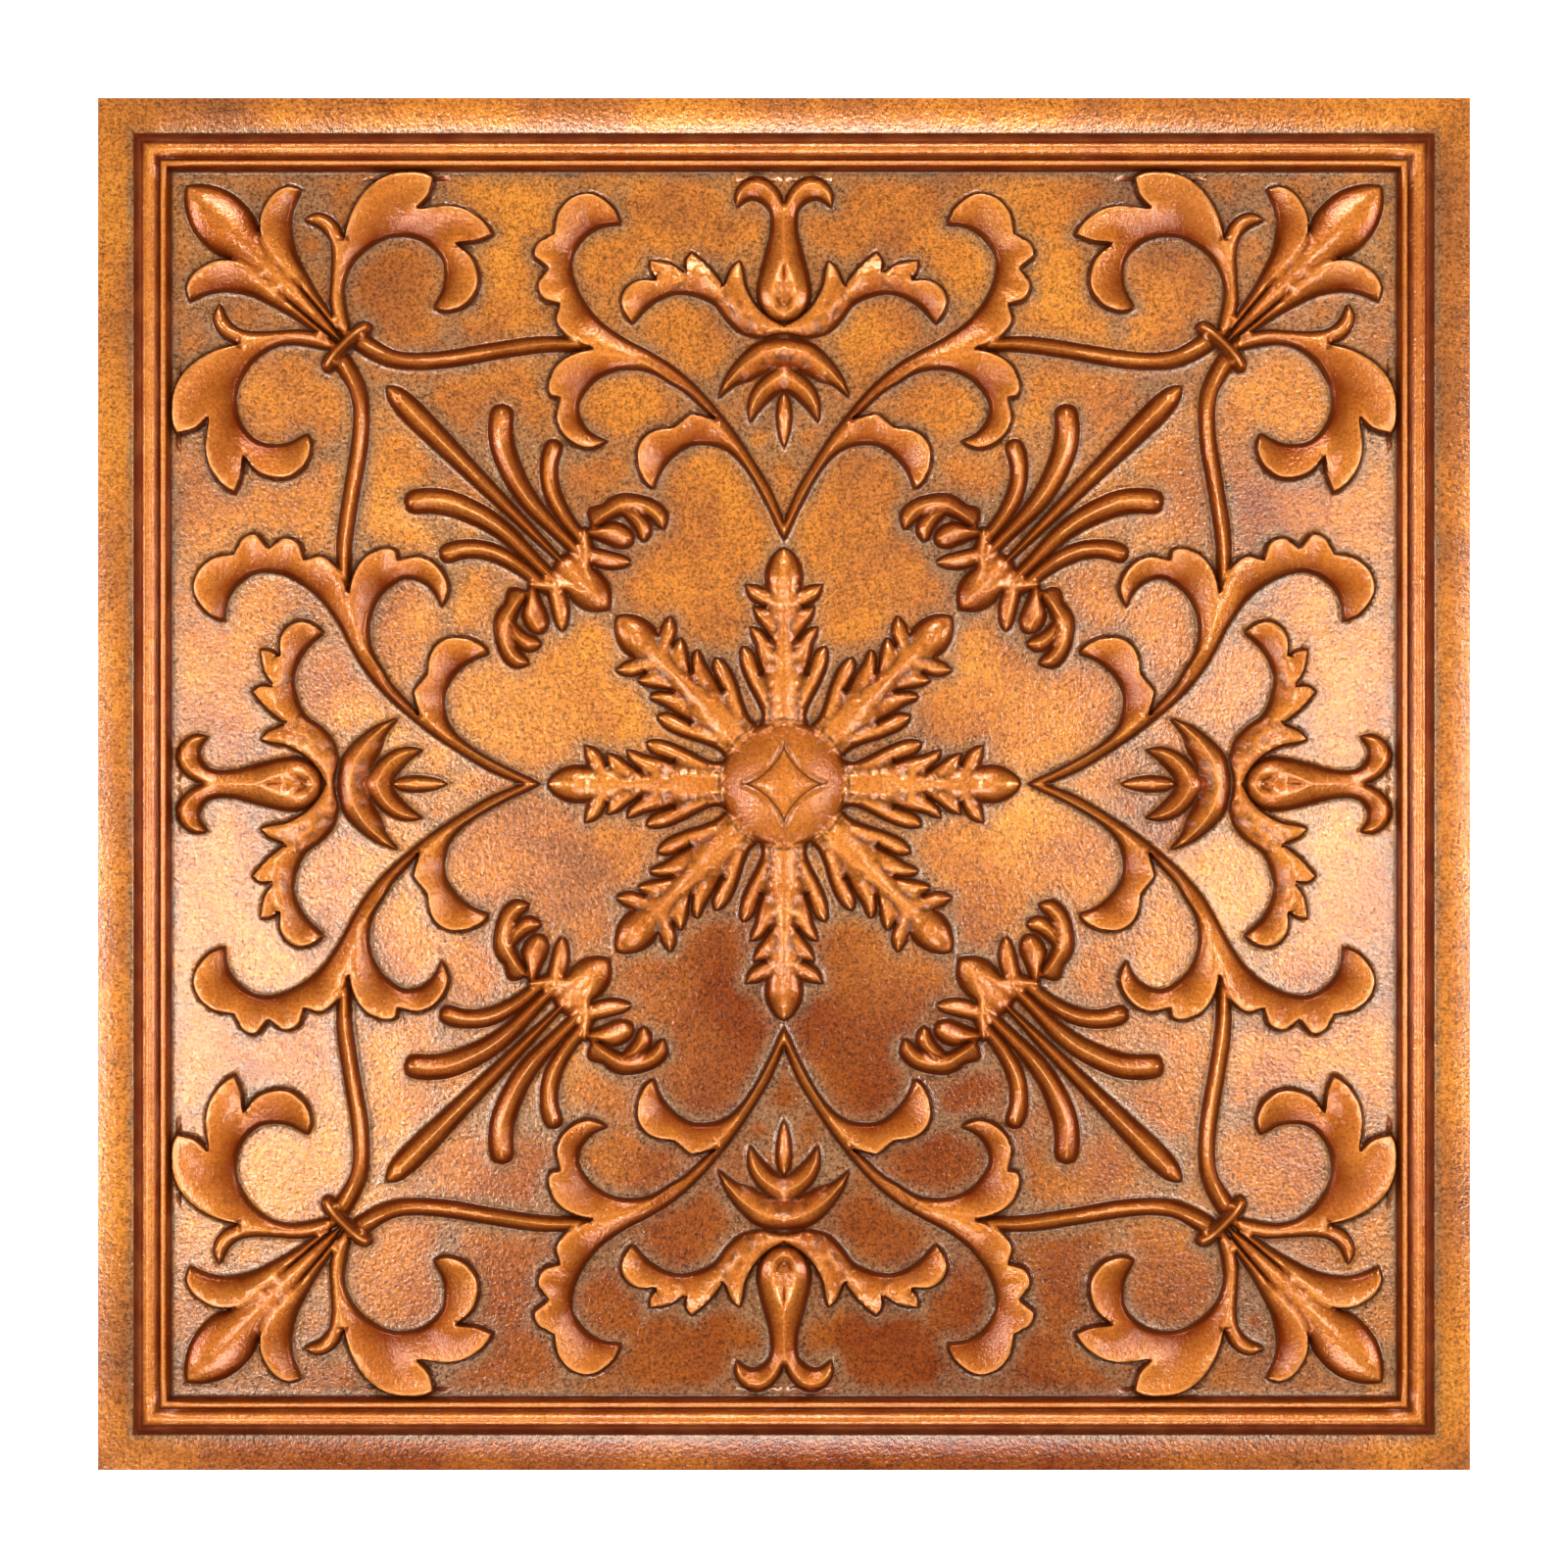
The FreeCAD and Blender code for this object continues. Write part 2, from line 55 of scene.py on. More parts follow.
def smooth(points, step=LINE_STEP):
    """Points along a soft curve through the drawn ones, ends included."""
    p = np.array(points, float)
    if len(p) == 2:
        count = max(1, int(np.linalg.norm(p[1] - p[0]) / step))
        return p[0] + (p[1] - p[0]) * np.linspace(0, 1, count + 1)[:, None]
    q = np.vstack([2 * p[0] - p[1], p, 2 * p[-1] - p[-2]])
    out = []
    for i in range(1, len(q) - 2):
        a, b, c, d = q[i - 1:i + 3]
        count = max(1, int(math.ceil(np.linalg.norm(c - b) / step)))
        t = (np.arange(count) / count)[:, None]
        out.append(0.5 * (2 * b + (c - a) * t + (2 * a - 5 * b + 4 * c - d) * t ** 2
                          + (3 * b - a - 3 * c + d) * t ** 3))
    return np.vstack(out + [p[-1:]])


def closed_line(stretches):
    """One closed line from stretches, each of which starts where the last one ended."""
    line, start = [], None
    for stretch in stretches:
        points = stretch if start is None else [start] + stretch
        line.append(smooth(points)[:-1])
        start = points[-1]
    return np.vstack(line)


def over_axis(points):
    """A line's mirror image over the axis, drawn back to its start."""
    return [(-p[0],) + tuple(p[1:]) for p in reversed(points)]


def over_diagonal(points):
    """A line's mirror image over the diagonal, drawn back to its start."""
    return [(p[1], p[0]) + tuple(p[2:]) for p in reversed(points)]


def motif(stretches, crests, wall=1.8, steep=0.6, keel=0.0, both=None, low=()):
    """Adds a motif; both mirrors it over its own axis, so that the outline closes there.

    low numbers the stretches that its top slopes down to; without it the top slopes to all."""
    count = len(stretches)
    if both:
        whole = [stretches[0]] + [[a[-1]] + b for a, b in zip(stretches, stretches[1:])]
        stretches = stretches + [both(s)[1:] for s in reversed(whole)]
        crests = crests + [both(c) for c in crests]
        low = tuple(low) + tuple(2 * count - 1 - i for i in low)
    ends = [stretches[-1][-1]] + [s[-1] for s in stretches[:-1]]
    lower = [smooth([ends[i]] * (i > 0) + stretches[i]) for i in low]
    line = closed_line(stretches)
    keep = np.linalg.norm(line - np.roll(line, 1, 0), axis=1) > SAME_POINT
    motifs.append({"line": line[keep], "crests": [smooth(c, CREST_STEP) for c in crests],
                   "wall": wall, "steep": steep, "keel": keel, "low": lower})


# A rod's round end, in shares of its half width: its tip, then its shoulders, back and aside. The
# crest ends a little lower than it runs.
ROD_TIP = 0.95
ROD_SHOULDER = (0.68, 0.72)
ROD_END_RISE = 0.95


def rod(middle, widths, rise):
    """A round-ended rod from its middle line, its half width at each drawn point and its rise."""
    p = np.array(middle, float)
    t = np.gradient(p, axis=0)
    t /= np.linalg.norm(t, axis=1)[:, None]
    n = np.stack([-t[:, 1], t[:, 0]], 1) * np.array(widths)[:, None]
    tip = tuple(p[0] - t[0] * widths[0] * ROD_TIP)
    left = [tuple(x) for x in p + n]
    right = [tuple(x) for x in (p - n)[::-1]]
    back, aside = ROD_SHOULDER
    turn = [tuple(p[0] - t[0] * widths[0] * back + side * n[0] * aside) for side in (1, -1)]
    crest = [(x, y, rise) for x, y in p]
    crest[0] = (*crest[0][:2], rise * ROD_END_RISE)
    outline = [[tip, turn[0]] + left, [right[0]], right[1:] + [turn[1], tip]]
    motif(outline, [crest], wall=0.9, steep=0.3, keel=0.8)


# Side flower: vase with two horns, toothed wing leaf, two sepals and a drop
motif([[(0, 255.5), (3, 261.5), (8, 266), (14, 266.8), (19, 263.7), (21.8, 258.5), (21, 252.5)],
       [(17, 255.7), (12.5, 256.4), (8, 253.8), (6, 249.3), (6.2, 241), (8.6, 232), (11, 222), (11.8, 215),
        (10, 208.5), (5.5, 204), (0, 202.5)]],
      [[(0, 250, 4.6), (0, 240, 5), (0, 232, 5.2), (2.6, 226, 5.6), (5, 219, 5.8), (5.4, 213, 5.8),
        (3.6, 208, 5.4), (0, 206, 5.2)],
       [(0, 250, 4.6), (2.4, 254.5, 4.6), (5.4, 259.3, 4.6), (9.6, 262.3, 4.6), (14.5, 262.5, 4.4),
        (18.6, 259.8, 4), (20.5, 255, 3)]],
      wall=1.0, steep=0.4, keel=0.6, both=over_axis)
motif([[(0, 201.5), (6, 204.5), (12, 210), (16.5, 218), (18, 226), (19.5, 230.3)],
       [(23.5, 226), (26.3, 219)],
       [(33, 227.2), (40.5, 233.8)],
       [(43.3, 230), (43.3, 224.5)],
       [(50, 228.6), (59.2, 230.3)],
       [(59, 226), (56.5, 221.3)],
       [(64.5, 221.2), (70.5, 216.5), (71.5, 209), (66.6, 201.6)],
       [(60, 209), (53, 213.5), (45, 215.3), (36, 213.3), (30, 210), (25, 203.3), (19, 198), (10.5, 195.6),
        (5, 196.6), (0, 197.5)]],
      [[(0, 199.4, 3.2), (7, 200, 4), (13, 202.5, 4.6), (20, 208, 5), (27, 216, 5), (35, 223, 5.3),
        (45, 223.8, 5.3), (55, 220.6, 5.3), (65, 219, 5.2), (70.3, 211, 4.8), (67.5, 203, 4)],
       [(14, 206, 4.4), (18, 213, 4.8), (20, 221, 4.6), (20.2, 227, 3.4)],
       [(28, 215, 4.9), (34, 222, 4.8), (39, 230, 3.8)],
       [(46, 220.5, 4.9), (52, 225, 4.6), (57, 228.3, 3.6)]],
      wall=1.0, steep=0.48, keel=0.8, both=over_axis, low=(7,))
motif([[(0, 196), (7, 195), (13, 193.3), (19, 188), (25, 180.3), (28, 173), (29.3, 168.8)],
       [(22, 174.6), (15, 177), (8, 180.7), (0, 183)]],
      [[(0, 190.8, 4.6), (8, 189, 4.6), (14, 186, 4.4), (20, 181.3, 4), (25, 175.5, 3.4),
        (28.3, 170.5, 2.4)]],
      wall=1.0, steep=0.35, keel=0.7, both=over_axis)
motif([[(0, 185.5), (6, 181.7), (12, 176), (15.3, 170), (16.2, 163.5), (14.8, 158.3)],
       [(12, 162.3), (8, 166.7), (3.5, 170.7), (0, 172)]],
      [[(0, 178.6, 4.6), (6, 175.8, 4.5), (11, 171.2, 4.1), (14, 165, 3.4), (14.8, 160, 2.4)]],
      wall=1.0, steep=0.35, keel=0.7, both=over_axis)
motif([[(0, 172.5), (2.6, 169), (3.7, 162), (2.6, 153), (0, 147.3)]],
      [[(0, 170.5, 2.6), (0, 166, 3.4), (0, 158, 3.2), (0, 149.5, 1.8)]],
      wall=0.9, steep=0.35, keel=0.7, both=over_axis)

# Scroll branch: stem from the heart's point, scroll leaf, and the two leaves that hang from it
motif([[(0, 115), (5, 127.5), (10, 136.5), (20, 152), (30, 165), (40, 176), (50, 184.3), (60, 190.3),
        (70, 195.5), (80, 202.5), (86, 209), (90, 215.5), (92.5, 222), (93.2, 228), (91.7, 234),
        (88, 239.3), (84, 242.6), (79, 244.6), (71, 245.4)],
       [(75, 253.5), (84, 259.2), (93, 257.6), (99.5, 250.3), (101, 241.6)],
       [(108, 237.5), (109.8, 231.5), (103.6, 226)],
       [(108.2, 219.5), (106, 212.7), (98.6, 210)],
       [(100.3, 203), (95.8, 196.3), (89.5, 192.6), (84, 191.3)],
       [(94, 188.3), (101, 182.5), (103.7, 175), (102.6, 170), (98.3, 169.3)],
       [(100.3, 161), (97.5, 153.5), (91, 148.3), (84, 147), (77.3, 150.5)],
       [(84.5, 154), (89, 159.5), (90.2, 166), (87.5, 172), (82, 177.8), (74, 181.3), (66, 182),
        (58, 180.7), (50, 176.3), (42, 170.8), (36, 165.3), (30.5, 160.3)],
       [(36, 162), (40.5, 162.7), (44, 160.5), (48.5, 157), (55, 156), (61, 153), (64.5, 147), (64.3, 139),
        (61, 132), (57, 129)],
       [(54, 137), (49, 143.5), (42, 148.2), (34, 149), (26, 147), (20, 142.3), (14, 134.5), (7, 121.5),
        (3, 112.5), (0, 106.5)]],
      [[(0, 110.8, 3.6), (5, 120.5, 4.2), (10, 129.8, 4.2), (15, 138, 4.2), (20, 146, 4.4), (24, 151, 4.8),
        (29.5, 157.5, 5.2), (36, 160.6, 5.5), (40.5, 161.3, 5.5), (43.5, 159.2, 5.5), (48, 155.7, 5.4),
        (54.7, 154.7, 5.4), (60, 151.9, 5.3), (63.2, 146.5, 5), (63, 139.3, 4.6), (59.4, 132, 3.8)],
       [(27, 154.5, 4.6), (33, 161, 4.2), (45, 172.6, 4.2), (55, 180.6, 4.2), (65, 186.8, 4.5),
        (75, 191, 4.8), (83.5, 194.2, 5), (89.5, 194.6, 5.2), (95, 198, 5.4), (98.8, 203.6, 5.6),
        (97.8, 209.4, 5.6)],
       [(97.8, 210.8, 5.6), (104.4, 213.6, 5.6), (106.8, 219.2, 5.6), (103, 225, 5.6)],
       [(103, 227, 5.6), (108.4, 231.8, 5.6), (106.8, 236.6, 5.6), (100.4, 240.8, 5.6)],
       [(100, 242.6, 5.6), (98.4, 249.6, 5.6), (92.4, 256.2, 5.4), (84, 257.8, 5), (76, 252.9, 4.2)],
       [(65, 186.8, 4.5), (74, 187.8, 4.8), (84, 189.6, 5.2), (93.2, 187.2, 5.5), (99.8, 181.7, 5.5),
        (102.3, 175, 5.5), (101.2, 171.4, 5.4)],
       [(97.4, 169, 5.4), (99, 161.2, 5.4), (96.5, 154.4, 5.2), (90.6, 149.6, 5), (84, 148.3, 4.6),
        (79, 150, 3.8)]],
      wall=1.0, steep=0.46, keel=0.8, both=over_axis, low=(0, 7, 9))
motif([[(84, 195), (95.5, 196.2), (110, 196.2), (130, 193.2), (150, 190), (163, 189.2), (173, 191),
        (184, 198)],
       [(190, 192)],
       [(182, 187), (172, 183), (160, 182), (145, 183.2), (125, 186.8), (105, 189.6), (84, 190.5)]],
      [[(86, 192.6, 3.6), (95, 193.2, 4), (105, 193, 4.2), (125, 190.2, 4.2), (145, 187, 4.2),
        (160, 186, 4.2), (170, 187, 4.2), (180, 191, 4.2), (187, 195, 4.2)]],
      wall=1.0, steep=0.3, keel=0.8)

# Corner flower: bud on the diagonal, petal, three-lobed leaf with its curl, and the tie
motif([[(262.7, 262.7), (256, 263.3), (250, 262.3), (244, 260), (238, 255.5), (233, 249.5), (230.8, 244.5),
        (226, 236), (218, 226.5), (208, 213.5), (198, 201), (192.5, 193), (191, 191)]],
      [[(260.5, 260.5, 4.2), (254, 254, 5.6), (245, 245, 6.4), (236, 236, 6.2), (225, 225, 5.4),
        (212, 212, 4.8), (192, 192, 4.4)]],
      wall=1.2, steep=0.4, keel=0.4, both=over_diagonal)
motif([[(211.5, 261), (217.5, 262.5), (224, 259.3), (229, 251.5), (230.2, 244), (228, 236), (222, 228),
        (212, 217.5), (196.5, 199)],
       [(193.5, 200)],
       [(204, 214), (210, 224.5), (214.5, 234), (216.3, 244), (215.3, 252), (211.5, 261)]],
      [[(197, 201.6, 4.2), (203.8, 210, 4.6), (210.8, 218.7, 5.0), (220.7, 229.2, 5.5), (226.6, 236.8, 5.8),
        (228.8, 244, 5.8), (227.6, 251, 5.6), (222.9, 257.9, 5.2), (217, 261.2, 4.6), (213, 260.6, 3.6)]],
      wall=1.0, steep=0.42, keel=0.8, low=(2,))
motif([[(189.6, 196.5), (192.5, 210), (193, 218), (190.7, 226), (186, 232.5), (180, 237), (174, 239.8),
        (167, 240.6), (160, 239.2), (154, 235.4), (150, 230), (149, 224), (150, 217), (154.3, 209)],
       [(148, 207), (140, 209.6), (134.8, 215.8), (133.8, 223), (136.6, 231), (143.5, 236.8)],
       [(135, 237.9), (127.2, 241)],
       [(131.5, 247), (139, 252.2), (148, 254), (160.3, 252.5)],
       [(155.5, 258), (153.2, 266.3)],
       [(158, 268.4), (165, 268.9), (173, 267.6), (181, 263.2), (187.5, 255.5), (191.3, 247.5),
        (193, 239.5)],
       [(195.3, 245), (199.7, 249.3), (205.5, 250.8), (211.5, 247.7)],
       [(208, 246), (203.5, 243.7), (199.8, 239), (198.6, 232), (198.9, 222), (199.4, 212), (197.6, 203),
        (193.5, 195)],
       [(189.6, 196.5)]],
      [[(191.5, 196.5, 4), (194.6, 204, 4.2), (196.4, 213, 4.2), (196.3, 222, 4.2), (195.8, 232, 4.2),
        (197.3, 240.5, 4.2), (200.5, 245.8, 4), (205.5, 248.2, 3.6), (209.5, 247.8, 2.6)],
       [(195.5, 226, 4.2), (193, 237, 4.8), (190, 247, 5.4), (185, 255.5, 5.8), (179, 261.5, 5.8),
        (171, 265.9, 5.6), (163, 267, 5.4), (155.2, 265.4, 5)],
       [(155.2, 265.4, 5), (156.8, 258.5, 5.4), (161.2, 253.4, 5.4)],
       [(161.2, 253.4, 5.4), (149, 252.8, 5.4), (139.7, 250.8, 5.2), (133, 246, 4.8), (128.8, 241.3, 4.2)],
       [(144.6, 237.2, 5.2), (137.8, 231, 5.2), (135, 224, 5), (135.6, 216.5, 4.8), (141, 210.8, 4.6),
        (148.5, 208.3, 4)]],
      wall=1.0, steep=0.5, keel=0.9, low=(0, 6, 7))
motif([[(194.9, 194.9), (190.5, 199.2), (187, 202), (184, 203.2), (181.6, 202.2)],
       [(180.6, 200), (181.6, 197.8), (186.3, 194.4), (190.9, 190.9)]],
      [[(183.3, 200.5, 5.6), (187.6, 197.6, 7.2), (192.8, 192.8, 7.4)]],
      wall=1.2, steep=0.45, keel=0.5, both=over_diagonal)

# Spray of rods about the diagonal, and the curled leaves it grows from
motif([[(175, 175), (170, 174.6), (165, 171.8), (158, 165.5), (146, 152.5), (134, 139.3), (122, 126.3),
        (110, 113.2), (100, 102), (90, 91)]],
      [[(173, 173, 2.8), (168, 168, 4.4), (150, 150, 4.4), (130, 130, 4.2), (110, 110, 4), (92, 92, 3.8)]],
      wall=0.9, steep=0.3, keel=0.8, both=over_diagonal)
rod([(124, 162), (124.4, 156), (123.8, 149), (122, 143), (119, 136), (115.5, 129.5), (110.5, 122.5),
     (105, 116.5), (99, 110.5), (92, 103.4),
     (87.5, 98)], [5.2, 5.4, 5.4, 5.2, 4.9, 4.5, 4, 3.5, 3, 2.7, 2.4], 4.6)
rod([(101.3, 147.5), (102.7, 143), (103.2, 138), (102.8, 132), (101, 126), (98, 120), (94, 114),
     (88.5, 107.3), (86, 103)],
    [4.2, 4.2, 4, 3.9, 3.8, 3.5, 3.2, 2.8, 2.4], 4.2)
motif([[(86.8, 110.5), (84.9, 113.5), (86.3, 117.5), (85.6, 121), (82, 122.3), (79.5, 122.8), (76.5, 125.6),
        (71, 127.6), (64, 127), (57, 124.8), (52, 120.8), (50.6, 116.5), (52.7, 111.3)],
       [(56, 113.3), (58.8, 116), (62.6, 117.7), (68, 118.3), (73.5, 117.2), (78.3, 114.6), (82, 112)],
       [(86.8, 110.5)]],
      [[(53.2, 113, 3.2), (54.6, 117, 4.2), (59, 121, 4.8), (65.5, 122.7, 5.2), (72, 121.9, 5.2),
        (77, 119, 5.2), (81, 116.4, 5.2), (85, 113.6, 5)]],
      wall=0.9, steep=0.3, keel=0.6)
motif([[(61.3, 105.8), (64, 108.2), (66, 112), (69, 116), (72.5, 119.5)],
       [(66, 120), (60.6, 117.6), (58.2, 114.2), (57.9, 110.2), (61.3, 105.8)]],
      [[(61.4, 107.8, 3), (62, 112, 4), (64.6, 116.6, 4.6), (69, 119.6, 5)]],
      wall=0.9, steep=0.3, keel=0.6)
motif([[(87, 108.5), (83, 107.6), (77, 105), (71.5, 103.2), (67.2, 104.6), (65.6, 108), (67, 111.6),
        (71, 114.4), (76, 115.2), (80, 113.6), (84, 112.5)],
       [(88.5, 112)]],
      [[(68.6, 107.8, 3.8), (73, 110.2, 4.6), (79, 111, 5), (86, 110.4, 5)]],
      wall=0.9, steep=0.3, keel=0.6)
motif([[(66.5, 97.3), (70, 100.3), (77, 102.3), (84, 104), (90, 105)],
       [(90, 96)],
       [(85, 96.6), (82, 95), (76, 93.9), (70, 94.8), (66.5, 97.3)]],
      [[(68.5, 97.4, 2.8), (74, 98.4, 4), (82, 100, 4.6), (89, 101, 4.8)]],
      wall=1.0, steep=0.4, keel=0.5)
motif([[(76.3, 76.3), (75.6, 80), (75.6, 84), (77, 88.5), (80, 92.3), (83.6, 95.2)],
       [(82.8, 99.5), (83.4, 105), (84.8, 110), (86.8, 113.6)],
       [(89.8, 111.6), (91.6, 106.5), (94, 103), (97, 100.8), (100, 100)]],
      [[(79, 79, 3.8), (84, 84, 5.2), (89, 89, 5), (95, 95, 4)],
       [(84, 84, 5.2), (84.6, 89.5, 5), (87, 95, 5), (86.6, 102, 5.2), (87.6, 110.5, 4.8)]],
      wall=1.8, steep=0.35, keel=0.7, both=over_diagonal)

# Rosette arm on the axis, its copy on the diagonal, and the boss in the middle
arm_stretches = [
    [(0, 104.3), (3.5, 102), (6.7, 97.5), (8.4, 91.5), (7.8, 86)],
    [(12.5, 87.6), (17.3, 87.7)],
    [(16.3, 83.7), (13.8, 80.3), (9.2, 77.8)],
    [(13.5, 78.5)],
    [(13.3, 75.3), (11.5, 71.5), (5, 62.3)],
    [(10.5, 68.2), (15.1, 69.3)],
    [(14.8, 66), (13, 61.5), (11.7, 54), (9.6, 48.3)],
    [(12.5, 56.5), (15, 59.5), (18.2, 61)],
    [(19.6, 57.5), (19, 52), (16, 44.5), (12, 37), (9.5, 30.5), (10.3, 26), (10.2, 24)],
    [(0, 24)],
]
arm_crests = [
    [(0, 102, 3), (0, 97, 5), (0, 91, 6), (0, 84, 5.4), (0.8, 74, 5.2), (1.6, 60, 5.6), (2.6, 45, 6),
     (3.2, 26, 6.2)],
    [(1.5, 78, 4.8), (7, 80, 4.6), (12, 83.3, 4.2), (16, 86.8, 2.8)],
    [(1.5, 66, 4.8), (6, 70, 4.6), (10, 73.8, 4.2), (12.7, 77, 2.8)],
    [(3, 50, 5), (7, 58, 4.8), (10.5, 64, 4.4), (14, 68, 2.8)],
    [(5, 27, 5), (8.2, 36, 5), (12, 45, 4.8), (15.5, 53, 4.4), (17.8, 59, 2.8)],
]
motif(arm_stretches, arm_crests, wall=1.0, steep=0.35, keel=0.1, both=over_axis)
EIGHTH_TURN = math.radians(-45)


def spun(points):
    """Points turned from the axis to the diagonal."""
    c, s = math.cos(EIGHTH_TURN), math.sin(EIGHTH_TURN)
    return [(p[0] * c - p[1] * s, p[0] * s + p[1] * c) + tuple(p[2:]) for p in points]


arm = motifs[-1]
motifs.append({**arm, "low": [], "line": np.array(spun(arm["line"])),
               "crests": [np.array(spun(c)) for c in arm["crests"]]})

# Grooves pressed into the motifs: a line, its depth and its half width. The last four lie on the
# rosette's arm and are repeated on its copy. The teardrop is the hollow in the vase.
creases = [
    ([(8, 198.5), (12.5, 201), (16.5, 205.5), (19, 211), (20, 216)], 0.9, 0.8),
    ([(15, 198.3), (20, 203), (23.7, 208.5), (25.8, 214)], 0.9, 0.8),
    ([(24, 219), (26.5, 214.5), (30, 211.8)], 0.9, 1.0),
    ([(43.3, 225), (44, 220), (47, 217)], 0.8, 1.0),
    ([(57, 221.5), (56.5, 218), (58, 215)], 0.8, 1.0),
    ([(0, 187.4), (7, 185.6), (13, 182.6), (19, 177.8)], 0.9, 0.75),
    ([(0, 193.4), (8, 191.6), (14, 188.6), (20, 183.4), (24.5, 177.5)], 0.6, 0.75),
    ([(0, 176), (5, 173.8), (10, 169.3), (13, 163.8)], 0.6, 0.7),
    ([(9.0, 47), (7.4, 42), (6.6, 35), (6.2, 29)], 1.3, 1.0),
    ([(5, 61), (4.6, 56), (4.6, 49)], 1.1, 0.9),
    ([(8, 77), (4.8, 75), (3.4, 70), (3, 64)], 1.2, 0.9),
    ([(7, 85), (4.6, 83), (2.8, 80)], 1.0, 0.8),
]
creases += [(spun(over_axis(line)), depth, width) for line, depth, width in creases[-4:]]
TEARDROP_DEPTH = 2.4
TEARDROP_WALL = 1.8
teardrop = np.array([(0, 229.5), (2.2, 224.5), (3.9, 218), (3.7, 212.5), (2, 209), (0, 208.2), (-2, 209),
                     (-3.7, 212.5), (-3.9, 218), (-2.2, 224.5)])

# Distances and heights of that relief at any points of the octant, worked out a chunk at a time

CHUNK = 1500
FILLET_RISE = 0.35
FILLET_REACH = 1.4  # how far outside the foot the fillet runs out
MOTIF_MARGIN = 1.5  # a motif lifts no point further from it than this
KNOT_BLUR = 0.6
KNOT_POWER = -2.5  # how fast the pull of a crest's point falls with the squared distance


def nearest(points, a, b):
    """Distance from each point to the nearest of the segments a-b."""
    best = np.full(len(points), 1e9)
    ab = b - a
    length = np.maximum((ab ** 2).sum(1), 1e-12)
    for i in range(0, len(points), CHUNK):
        p = points[i:i + CHUNK, None, :]
        t = np.clip(((p - a) * ab).sum(2) / length, 0, 1)
        gap = p - a - t[..., None] * ab
        best[i:i + CHUNK] = np.sqrt((gap ** 2).sum(2)).min(1)
    return best


def inside(points, line):
    """Whether each point lies within a closed line."""
    a, b = line, np.roll(line, -1, 0)
    climb = np.where(b[:, 1] == a[:, 1], 1e-9, b[:, 1] - a[:, 1])
    hits = np.zeros(len(points), int)
    for i in range(0, len(points), CHUNK):
        x, y = points[i:i + CHUNK, 0, None], points[i:i + CHUNK, 1, None]
        cross = (a[:, 1] > y) != (b[:, 1] > y)
        at = a[:, 0] + (y - a[:, 1]) * (b[:, 0] - a[:, 0]) / climb
        hits[i:i + CHUNK] = (cross & (x < at)).sum(1)
    return hits % 2 == 1


def motif_height(m, points):
    """Rise of one motif at points and its share of the crest's, with a small fillet at the foot."""
    rise, lift = np.zeros(len(points)), np.zeros(len(points))
    low, high = m["line"].min(0) - MOTIF_MARGIN, m["line"].max(0) + MOTIF_MARGIN
    near = np.where(((points > low) & (points < high)).all(1))[0]
    if not len(near):
        return rise, lift
    p = points[near]
    edge = nearest(p, m["line"], np.roll(m["line"], -1, 0))
    within = inside(p, m["line"])
    crest_a = np.vstack([c[:-1] for c in m["crests"]])
    crest_b = np.vstack([c[1:] for c in m["crests"]])
    to_crest = nearest(p, crest_a[:, :2], crest_b[:, :2])
    knots = np.vstack(m["crests"])
    top = np.zeros(len(p))
    for i in range(0, len(p), CHUNK):
        gap = ((p[i:i + CHUNK, None, :] - knots[:, :2]) ** 2).sum(2) + KNOT_BLUR
        weight = gap ** KNOT_POWER
        top[i:i + CHUNK] = (weight * knots[:, 2]).sum(1) / weight.sum(1)
    fall = edge
    if m["low"]:
        fall = nearest(p, np.vstack([c[:-1] for c in m["low"]]), np.vstack([c[1:] for c in m["low"]]))
    share = fall / np.maximum(fall + to_crest, 1e-6)
    wall = np.sin(np.clip(edge / m["wall"], 0, 1) * math.pi / 2)
    soft = 1 - (1 - share) ** 2
    slope = m["keel"] * share + (1 - m["keel"]) * soft
    inner = top * (m["steep"] * wall + (1 - m["steep"]) * slope)
    fillet = np.where(within, FILLET_RISE, FILLET_RISE * np.clip(1 - edge / FILLET_REACH, 0, 1) ** 2)
    rise[near] = np.where(within, inner, 0) + fillet
    lift[near] = np.where(within, inner / np.maximum(top, 1), 0)
    return rise, lift


# Moulding round the field, a small bead and a large one, as rows of distance from the tile's middle,
# height and share of the crest, from the inner foot to the outer one
moulding = [(268.9, 0.1, 0.2), (269.5, 1.3, 0.4), (270.3, 3.6, 0.5), (271.3, 5.0, 0.85), (272.3, 5.5, 1),
            (273.1, 5.0, 0.75), (273.9, 4.0, 0.3), (274.7, 4.5, 0.45), (275.9, 5.8, 0.8), (277.5, 6.9, 1),
            (279.1, 7.1, 0.95), (280.7, 6.5, 0.6), (282.1, 5.3, 0.3), (283.5, 3.6, 0.15),
            (284.5, 1.9, 0.1), (285.3, 0.6, 0.1), (286.5, 0.1, 0.1)]
bead_y, bead_z, bead_lift = (list(column) for column in zip(*moulding))
FIELD_EDGE = 268.8
LEAF_LIMIT = 269.3  # the leaves' tips run onto the moulding's wall up to here
INNER_FOOT = 268.9
OUTER_FOOT = 286.1

# Boss in the middle: a low dome with a groove round it, and a star of four hollow arcs scribed on it
BOSS_EDGE = 28
BOSS_ROUNDING = 1.6
BOSS_GROOVE = 27.8
GROOVE_DEPTH = 0.4
ARM_LIMIT = 26  # the rosette's arms run onto the boss up to here
DOME_TOP = 9.0
DOME_FALL = 3.6
DOME_RADIUS = 27
STAR_CENTRE = 25.72
STAR_ROUND = 27.32
STAR_CUT = 0.8
STAR_SINK = 0.2


